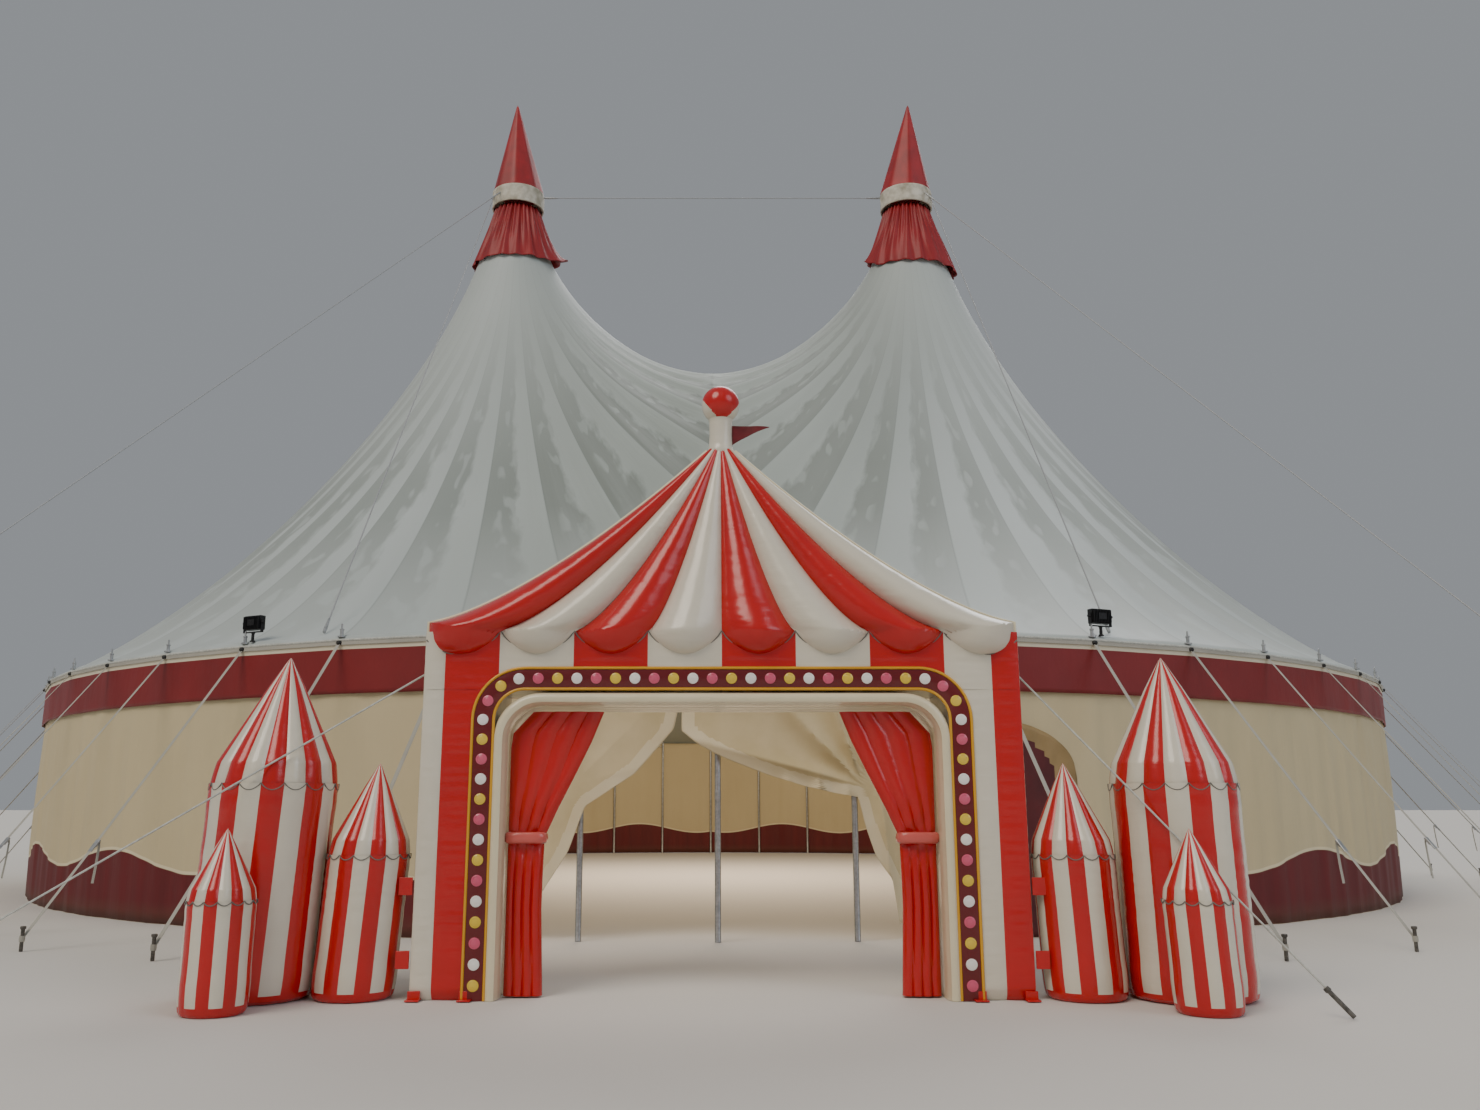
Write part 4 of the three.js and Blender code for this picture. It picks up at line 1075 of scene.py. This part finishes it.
fascia = [-arch_half, -2.33, -1.875, -1.25, -0.625, 0.0, 0.625, 1.25, 1.875, 2.27]
fascia_colours = [WHITE, RED] * 5
run = [((x, arch_front), 0.02, colour) for x, colour in zip(fascia, fascia_colours)]
run += [((arch_half, arch_front + end_depth * i), 0.02, WHITE) for i in range(3)]
run += [((-x, arch_back), 0.02, colour) for x, colour in zip(fascia, fascia_colours[::-1])]
run += [((-arch_half, arch_back - end_depth * i), 0.02, WHITE) for i in range(3)]
band = striped_column(run, np.linspace(leg_top, arch_eave - 0.01, 24))
piece("arch_fascia", [band], stripe_vinyls, "red_vinyl", ["arch_roof"], crease=28)


def portal_path(half, top, corner, step=0.04):
    """The upside-down U in the plane of the arch: up the left leg, over with round corners, and down."""
    turn = np.linspace(0, np.pi / 2, 14)
    legs = np.arange(0, top - corner, step)
    left = np.column_stack([np.full(len(legs), -half), legs])
    first = np.column_stack([corner - half - corner * np.cos(turn), top - corner + corner * np.sin(turn)])
    span = np.arange(corner - half, half - corner, step)[1:]
    over = np.column_stack([span, np.full(len(span), top)])
    second = np.column_stack([half - corner + corner * np.sin(turn), top - corner + corner * np.cos(turn)])
    return np.concatenate([left, first, over, second, left[::-1] * [-1, 1]])


def portal(half, top, corner, profile, y):
    """Carries a profile round the upside-down U; its values are outward in the plane, then back."""
    plan = portal_path(half, top, corner)
    path = np.column_stack([plan[:, 0], np.full(len(plan), y), plan[:, 1]])
    along = np.gradient(path, axis=0)
    outward = np.cross(along, (0, 1.0, 0))
    return sweep(path, np.asarray(profile) * [1, -1], outward)


# Arch lining: the cream tube that edges the opening, three rolls deep.
lining_inner, lining_outer = 0.048, 0.052
roll = np.linspace(0, 1, 46)
roll_depth = arch_back - arch_front
roll_bulge = 0.018 * np.abs(np.sin(3 * np.pi * roll)) ** 0.6
inner_side = np.column_stack([-lining_inner - roll_bulge + 0.012, roll * roll_depth])
front_nose = [(-0.03, -0.035), (0.0, -0.048), (0.035, -0.035)]
outer_side = [(lining_outer, roll_depth), (lining_outer, 0.0)]
lining_profile = np.concatenate([inner_side, outer_side, front_nose[::-1]])
lining = patch(portal(1.853, 2.397, 0.34, lining_profile, arch_front), wrap=True)
piece("arch_lining_tube", [lining], [cream_vinyl], "white_vinyl", ["arch_lining"], crease=45)

# Light frame: a maroon printed band with gold piping on both edges and a row of printed lamps, which
# don't light.
light_frame, band_half = (1.99, 2.565, 0.34), 0.082
lamp_pitch = 0.162
lamp_count = 54
maroon_print = vinyl("printed_maroon_vinyl", "#5A0A0E", "#6E0F13")
gold_piping = vinyl("gold_piping", "#C98F12", "#E0A92A")
band_profile = [
    (-band_half, 0.0), (-band_half, -0.02), (-0.03, -0.032), (0.03, -0.032), (band_half, -0.02),
    (band_half, 0.0)
]
frame_bits = [patch(portal(*light_frame, band_profile, arch_front - 0.001), wrap=True)]
for offset in (-0.088, 0.088):
    pipe = circle(0.0125, 10) + [offset, -0.022]
    frame_bits.append(patch(portal(*light_frame, pipe, arch_front), wrap=True, paint=1))
frame_finishes = [maroon_print, gold_piping]
piece("arch_light_band", frame_bits, frame_finishes, "light_frame", ["arch_light_frame"], crease=40)

lamp_colours = {
    "yellow": ("#D9B62A", "#E8CE55"), "white": ("#E4E0DA", "#F3F1EC"), "pink": ("#C94A68", "#DB6A84")
}
lamp_finishes = [vinyl(f"printed_lamp_{name}", *tones) for name, tones in lamp_colours.items()]
lamp_line = portal_path(*light_frame, step=0.01)
lamp_run = metres_along(lamp_line)
lamp_starts = (lamp_run[-1] - lamp_pitch * (lamp_count - 1)) / 2 + lamp_pitch * np.arange(lamp_count)
dome_outline = [(0.047, 0.0), (0.045, 0.006), (0.034, 0.010), (0.032, 0.007), (0.018, 0.012), (0.0, 0.013)]
dome_radius, dome_height = np.array(dome_outline).T[..., None]
spin = spins(20)
dome = np.stack([dome_radius * np.cos(spin), -dome_height + 0 * spin, dome_radius * np.sin(spin)], -1)
lamps = []
for order, metres in enumerate(lamp_starts):
    x, z = (np.interp(metres, lamp_run, axis) for axis in lamp_line.T)
    lamps.append(patch(dome + [x, arch_front - 0.031, z], wrap=True, paint=order % 3))
piece("arch_printed_lamps", lamps, lamp_finishes, "light_frame", closed=False, crease=50)

# Arch curtains: red vinyl tubes in the shape of curtains, drawn in by a paler tie half way down.
tie_height = 1.26
tie_inner = 1.48
curtain_y = arch_front + 0.20
curtain_top = 2.30
inner_heights = [0, 0.7, tie_height, 1.5, 1.8, 2.05, curtain_top]
inner_places = [1.465, 1.49, tie_inner, 1.37, 1.22, 1.10, 1.0]
tie_rows = [(0.94, -0.045), (1.03, -0.03), (1.06, 0.0), (1.03, 0.03), (0.94, 0.045)]
tie_band = vinyl("pale_red_tie", "#C4524C", "#D66A60")
z = np.linspace(0.012, curtain_top, 90)[:, None]
inner_edge = np.interp(z, inner_heights, inner_places)
outer_edge = np.interp(z, [0, 2.0, 2.12, curtain_top], [1.782, 1.782, 1.765, 1.60])
gathered = np.exp(-((z - tie_height) / 0.22) ** 2)
turn = spins(96)
across = 0.5 - 0.5 * np.cos(turn)
thick = 0.085 * np.sin(turn)
lobes = np.abs(np.sin(np.pi * 4 * across + 0.35 * np.sin(z * 2.2))) ** 0.6
swell = np.abs(thick) ** 0.5 * 0.26 * (0.62 + 0.38 * lobes) * (1 - 0.42 * gathered)
crinkle = 0.006 * np.sin(z * 31 + 9 * across) * gathered
curtain_x = outer_edge + (inner_edge - outer_edge) * across
tie_x = (outer_edge[0, 0] + tie_inner) / 2
tie_half = (outer_edge[0, 0] - tie_inner) / 2 + 0.014
squared = [np.sign(wave) * np.abs(wave) ** 0.6 for wave in (np.cos(turn), np.sin(turn))]
scale, lift = np.array(tie_rows).T[..., None]
for side_name, side in SIDES.items():
    parts = side * curtain_x, curtain_y - np.sign(thick) * swell + crinkle, z
    grid = np.stack(np.broadcast_arrays(*parts), -1)
    ends = [np.repeat(grid[i:i + 1].mean(1, keepdims=True), len(turn), 1) for i in (0, -1)]
    curtain = patch(np.concatenate([ends[0], grid, ends[1]]), wrap=True)
    node_name = f"arch_curtain_{side_name}"
    piece(f"{node_name}_vinyl", [curtain], [red_vinyl], "red_vinyl", [node_name], crease=40)
    parts = side * tie_x + tie_half * squared[0] * scale, curtain_y + 0.105 * squared[1] * scale
    tie = np.stack(np.broadcast_arrays(*parts, tie_height + lift), -1)
    tie_name = f"arch_curtain_tie_{side_name}"
    piece(tie_name, [patch(tie, wrap=True)], [tie_band], "red_vinyl", closed=False, shell=0.004)

# Finial: an off-white neck and cup round a red ball, whose red comes down to the neck at the front and
# back, and a small maroon pennant.
neck_top = 4.99
ball_radius = 0.175
ball_middle = neck_top + math.sqrt(ball_radius ** 2 - neck_radius ** 2)
finial_at = np.array([0, arch_middle, 0])
neck_outline = [
    (0.0, arch_apex - 0.03), (0.115, arch_apex - 0.03), (0.125, arch_apex), (0.108, arch_apex + 0.05),
    (0.103, arch_apex + 0.15), (0.106, neck_top - 0.02), (0.115, neck_top), (0.0, neck_top + 0.005)
]
latitude = np.linspace(-np.pi / 2, np.pi / 2, 41)
middles = (latitude[1:] + latitude[:-1]) / 2
spin = spins(96)
lobed = ball_radius * (1 - 0.018 * (1 - np.abs(np.sin(4 * spin)) ** 0.6))
ball_height = ball_middle + ball_radius * np.sin(latitude)[:, None]
ball = polar(np.cos(latitude)[:, None] * lobed, spin, ball_height)
ball_edge = -0.075 - 0.115 * np.cos(2 * (spin + np.pi / 96 - 0.12))
ball_colour = np.where(ball_radius * np.sin(middles)[:, None] < ball_edge, WHITE, RED)
finial_bits = [
    patch(ball + finial_at, wrap=True, paint=ball_colour),
    patch(lathe(eased(neck_outline, 30), 48) + finial_at, wrap=True, paint=WHITE)
]
piece("arch_finial_ball", finial_bits, stripe_vinyls, "white_vinyl", ["arch_finial"], crease=40)
pennant_cloth = toned("maroon_pennant_cloth", "#5A0A10", "#731019", 0.05, 0.55, 0.004)
along, up = np.meshgrid(np.linspace(0, 1, 22), np.linspace(0, 1, 10))
pennant_low = 4.74 + 0.18 * along ** 0.8
pennant_z = pennant_low + (4.93 - 0.004 * along - pennant_low) * up
pennant = np.stack([0.102 + 0.345 * along, 0.016 * np.sin(7 * along) * along, pennant_z], -1)
made = piece(
    "arch_pennant", [patch(pennant + finial_at)], [pennant_cloth], "red_fabric", closed=False, shell=0.002,
    crease=60
)

# Arch fixings: red tabs with eyelets at the feet and between the legs and the towers, and a black ring by
# each eave. Pale ropes run from these rings past the fronts of the big towers to stakes.
tabs = []
for side in (-1, 1):
    blocks = [
        (side * x, half, *reach) for x in (2.05, 2.46)
        for half, *reach in ((0.055, -0.10, 0.02, 0.003, 0.016), (0.05, -0.03, -0.006, 0.01, 0.075))
    ]
    blocks += [(side * 2.57, 0.055, -0.01, 0.012, z - 0.07, z + 0.07) for z in (0.31, 0.88)]
    for x, half, near, far, low, high in blocks:
        tabs += slab((x - half, arch_front + near, low), (x + half, arch_front + far, high))
piece("arch_tabs", tabs, [red_vinyl], "red_vinyl", bevel=0.004)

black_metal = toned("black_powder_coat", "#0E0E0F", "#1D1D1F", 0.01, 0.45, 0.0006, Metallic=0.2)
tether_height = 2.635
tether_y = arch_front + 0.192
tether_foot = {"left": (-6.2, -19.0), "right": (4.58, -18.31)}
for side_name, side in SIDES.items():
    turn = np.linspace(0, 2 * np.pi, 25)
    ring_x = np.full(len(turn), side * (arch_half + 0.012))
    hoop = np.column_stack([ring_x, tether_y + 0.03 * np.cos(turn), tether_height + 0.03 * np.sin(turn)])
    plate = slab(
        (side * arch_half - 0.004, tether_y - 0.06, tether_height - 0.06),
        (side * arch_half + 0.012 * side + 0.004, tether_y + 0.06, tether_height + 0.06)
    )
    bits = [patch(sweep(hoop, circle(0.006, 8), (1.0, 0, 0), caps=False), wrap=True), *plate]
    piece(f"arch_ring_{side_name}", bits, [black_metal], "black_metal", crease=40)
    foot_x, foot_y = tether_foot[side_name]
    anchored(
        f"arch_tether_{side_name}_line", (side * (arch_half + 0.015), tether_y, tether_height),
        (foot_x, foot_y + tent_y, 0.0), 0.008, [pale_rope, dark_steel], "webbing", turnbuckle=False
    )

# Towers: six free-standing air-filled columns of the same vinyl, striped all round, with pointed
# scalloped roofs. Soft as they are, they lean a little. Each has the shift of its foot and of its tip to
# the right in metres, and the turn of its first red stripe in degrees.
tower_sizes = {"big": (18, 1.70), "middle": (16, 1.13), "small": (16, 0.82)}
tower_places = {
    "big_left": (-0.07, 0.08, 7.5), "middle_left": (-0.08, 0.045, 16.3), "small_left": (-0.01, 0.0, -7.8),
    "big_right": (0.04, -0.01, -7.3), "middle_right": (0.035, -0.05, -23.5),
    "small_right": (0.03, -0.02, 4.0)
}
gore_steps = 12
big_radius = 0.515
roof_outline = ([0, 0.16, 0.45, 0.75, 0.97, 1.0], [1.0, 0.93, 0.62, 0.30, 0.045, 0.0])
for place_name, (foot_aside, tip_aside, first_red) in tower_places.items():
    count, eave = tower_sizes[place_name.split("_")[0]]
    low, high = np.array(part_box(f"tower_{place_name}"))
    centre = (low + high) / 2 * [1, 1, 0]
    radius, tip = (high[0] - low[0]) / 2, high[2]
    gore = np.arange(count * gore_steps) / gore_steps
    spin = gore * 2 * np.pi / count + math.radians(first_red)
    bulge = np.abs(np.sin(np.pi * gore)) ** 0.8
    stripe_of = np.floor(gore + 1e-6).astype(int) % 2
    body_rows = np.concatenate([[0.0, 0.0, 0.008, 0.03, 0.07, 0.13], np.linspace(0.2, eave, 40)])[:, None]
    body_share = np.concatenate([[0.0, 0.86, 0.90, 0.945, 0.97, 0.98], np.full(40, 0.985)])[:, None]
    body_share[6:] -= 0.012 * np.sin(np.pi * (body_rows[6:] - 0.2) / (eave - 0.2))
    pucker = 1 + 0.004 * np.sin(body_rows * 41 + 5 * np.sin(body_rows * 7))
    body = polar(radius * (body_share * pucker) * (1 + 0.016 * bulge), spin, body_rows)
    body_colour = np.repeat(stripe_of[None], len(body_rows) - 1, axis=0)
    body_colour[:4] = RED
    rise = np.linspace(0, 1, 61)[:, None] ** 1.25
    scallop = eave - 0.055 * radius / big_radius * bulge
    z = scallop + (tip - scallop) * rise
    outline = np.interp(np.clip((z - eave) / (tip - eave), 0, 1), *roof_outline)
    closing = closing_in(z - scallop, 0.22 * radius / big_radius)
    roof = polar(radius * outline * (0.95 + 0.05 * bulge * closing), spin, z)
    closed_spin = np.append(spin, spin[0])
    hem = polar(radius * 0.99 + 0.004, closed_spin, np.append(scallop, scallop[0]))
    seam = sweep(hem, circle(0.0045, 6), polar(1.0, closed_spin, 0), caps=False)
    bits = []
    for grid, colour in ((body, body_colour), (roof, stripe_of), (seam, 2)):
        aside = foot_aside + (tip_aside - foot_aside) * grid[..., 2:] / tip
        bits.append(patch(grid + centre + [1, 0, 0] * aside, wrap=True, paint=colour))
    piece(
        f"tower_{place_name}_vinyl", bits, [*stripe_vinyls, seam_grey], "red_vinyl", [f"tower_{place_name}"],
        closed=False, crease=30
    )

# Floodlights: black die-cast lamps on yokes over the eave, glass towards the canopy and cooling fins
# behind. Each turns in its yoke on two clamping knobs.
glass = Finish("floodlight_glass", 0.08, IOR=1.5)
cells = glass.node("TexVoronoi", {"Vector": glass.place(), "Scale": 38.0})[0]
glass.feed("Base Color", glass.mix(cells, "#E9E4CF", "#B9B6A6"))
lamp_wide, lamp_high, arm_out = 0.1425, 0.0925, 0.1565
rim = 0.014
cross_bar = -lamp_high - 0.025
arm_half, arm_near, arm_far = 0.006, -0.022, 0.022
pin_outline = [(0, 0.008), (1, 0.008)]
knob_outline = [(0, 0.022), (0.3, 0.022), (0.35, 0.018), (1, 0.017)]
post_outline = [(0, 0.034), (0.12, 0.034), (0.14, 0.02), (0.86, 0.02), (0.88, 0.028), (1, 0.028)]
lamp_blocks = [
    ((-lamp_wide, -0.03, -lamp_high), (lamp_wide, 0.045, lamp_high), 0),
    ((-lamp_wide, 0.045, -lamp_high), (lamp_wide, 0.06, rim - lamp_high), 0),
    ((-lamp_wide, 0.045, lamp_high - rim), (lamp_wide, 0.06, lamp_high), 0),
    ((-lamp_wide, 0.045, rim - lamp_high), (rim - lamp_wide, 0.06, lamp_high - rim), 0),
    ((lamp_wide - rim, 0.045, rim - lamp_high), (lamp_wide, 0.06, lamp_high - rim), 0),
    ((rim - lamp_wide, 0.045, rim - lamp_high), (lamp_wide - rim, 0.052, lamp_high - rim), 1)
]
lamp_blocks += [
    ((fin - 0.003, -0.06, 0.01 - lamp_high), (fin + 0.003, -0.03, lamp_high - 0.01), 0)
    for fin in np.linspace(0.012 - lamp_wide, lamp_wide - 0.012, 12)
]
lamp_blocks.append(((-0.06, -0.058, -0.04), (0.06, -0.03, 0.04), 0))
arm_blocks = [
    (arm_near, cross_bar - 0.012, arm_far, -0.012), (arm_near, 0.012, arm_far, 0.045),
    (arm_near, -0.012, -0.010, 0.012), (0.010, -0.012, arm_far, 0.012)
]
for side_name, bay in (("left", -3.93), ("right", 3.1)):
    joint = next(j for j in frame["joints"] if j["name"] == f"floodlight_{side_name}_tilt")
    pivot = np.array(joint["pos_m"], float)
    angle = bay * 2 * np.pi / pole_count
    sine, cosine = math.sin(angle), math.cos(angle)
    facing = np.array([[cosine, sine, 0], [-sine, cosine, 0], [0, 0, 1]])

    def placed(points, facing=facing, pivot=pivot):
        """Turns a part about the upright by its pole's angle and moves it to the pivot."""
        return points @ facing + pivot

    def turned_part(start, end, outline):
        """A turned part between two points of the lamp."""
        return spindle(placed(np.array(start)), placed(np.array(end)), outline, sides=16)

    def on_axis(near, far, outline):
        """A turned part on the tilt axis, between two places on it."""
        return turned_part((near, 0, 0), (far, 0, 0), outline)

    body = [part for block in lamp_blocks for part in slab(*block, place=placed)]
    yoke = []
    for side in (-1, 1):
        body.append(on_axis(side * (lamp_wide - 0.001), side * (arm_out + 0.006), pin_outline))
        x = side * arm_out
        for near, low, far, high in arm_blocks:
            yoke += slab((x - arm_half, near, low), (x + arm_half, far, high), place=placed)
        yoke.append(on_axis(side * (arm_out + 0.0065), side * (arm_out + 0.032), knob_outline))
    yoke += slab(
        (-arm_out - arm_half, arm_near, cross_bar - 0.012), (arm_out + arm_half, arm_far, cross_bar),
        place=placed
    )
    lamp_name, bracket = f"floodlight_{side_name}", f"floodlight_bracket_{side_name}"
    post_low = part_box(bracket)[0][2] - pivot[2]
    yoke.append(turned_part((0, 0, post_low - 0.01), (1e-4, 0, cross_bar - 0.005), post_outline))
    piece(
        f"{lamp_name}_housing", body, [black_metal, glass], "black_metal", [lamp_name], body=lamp_name,
        bevel=0.0012, crease=30
    )
    piece(f"{bracket}_yoke", yoke, [black_metal], "black_metal", [bracket], bevel=0.001, crease=30)
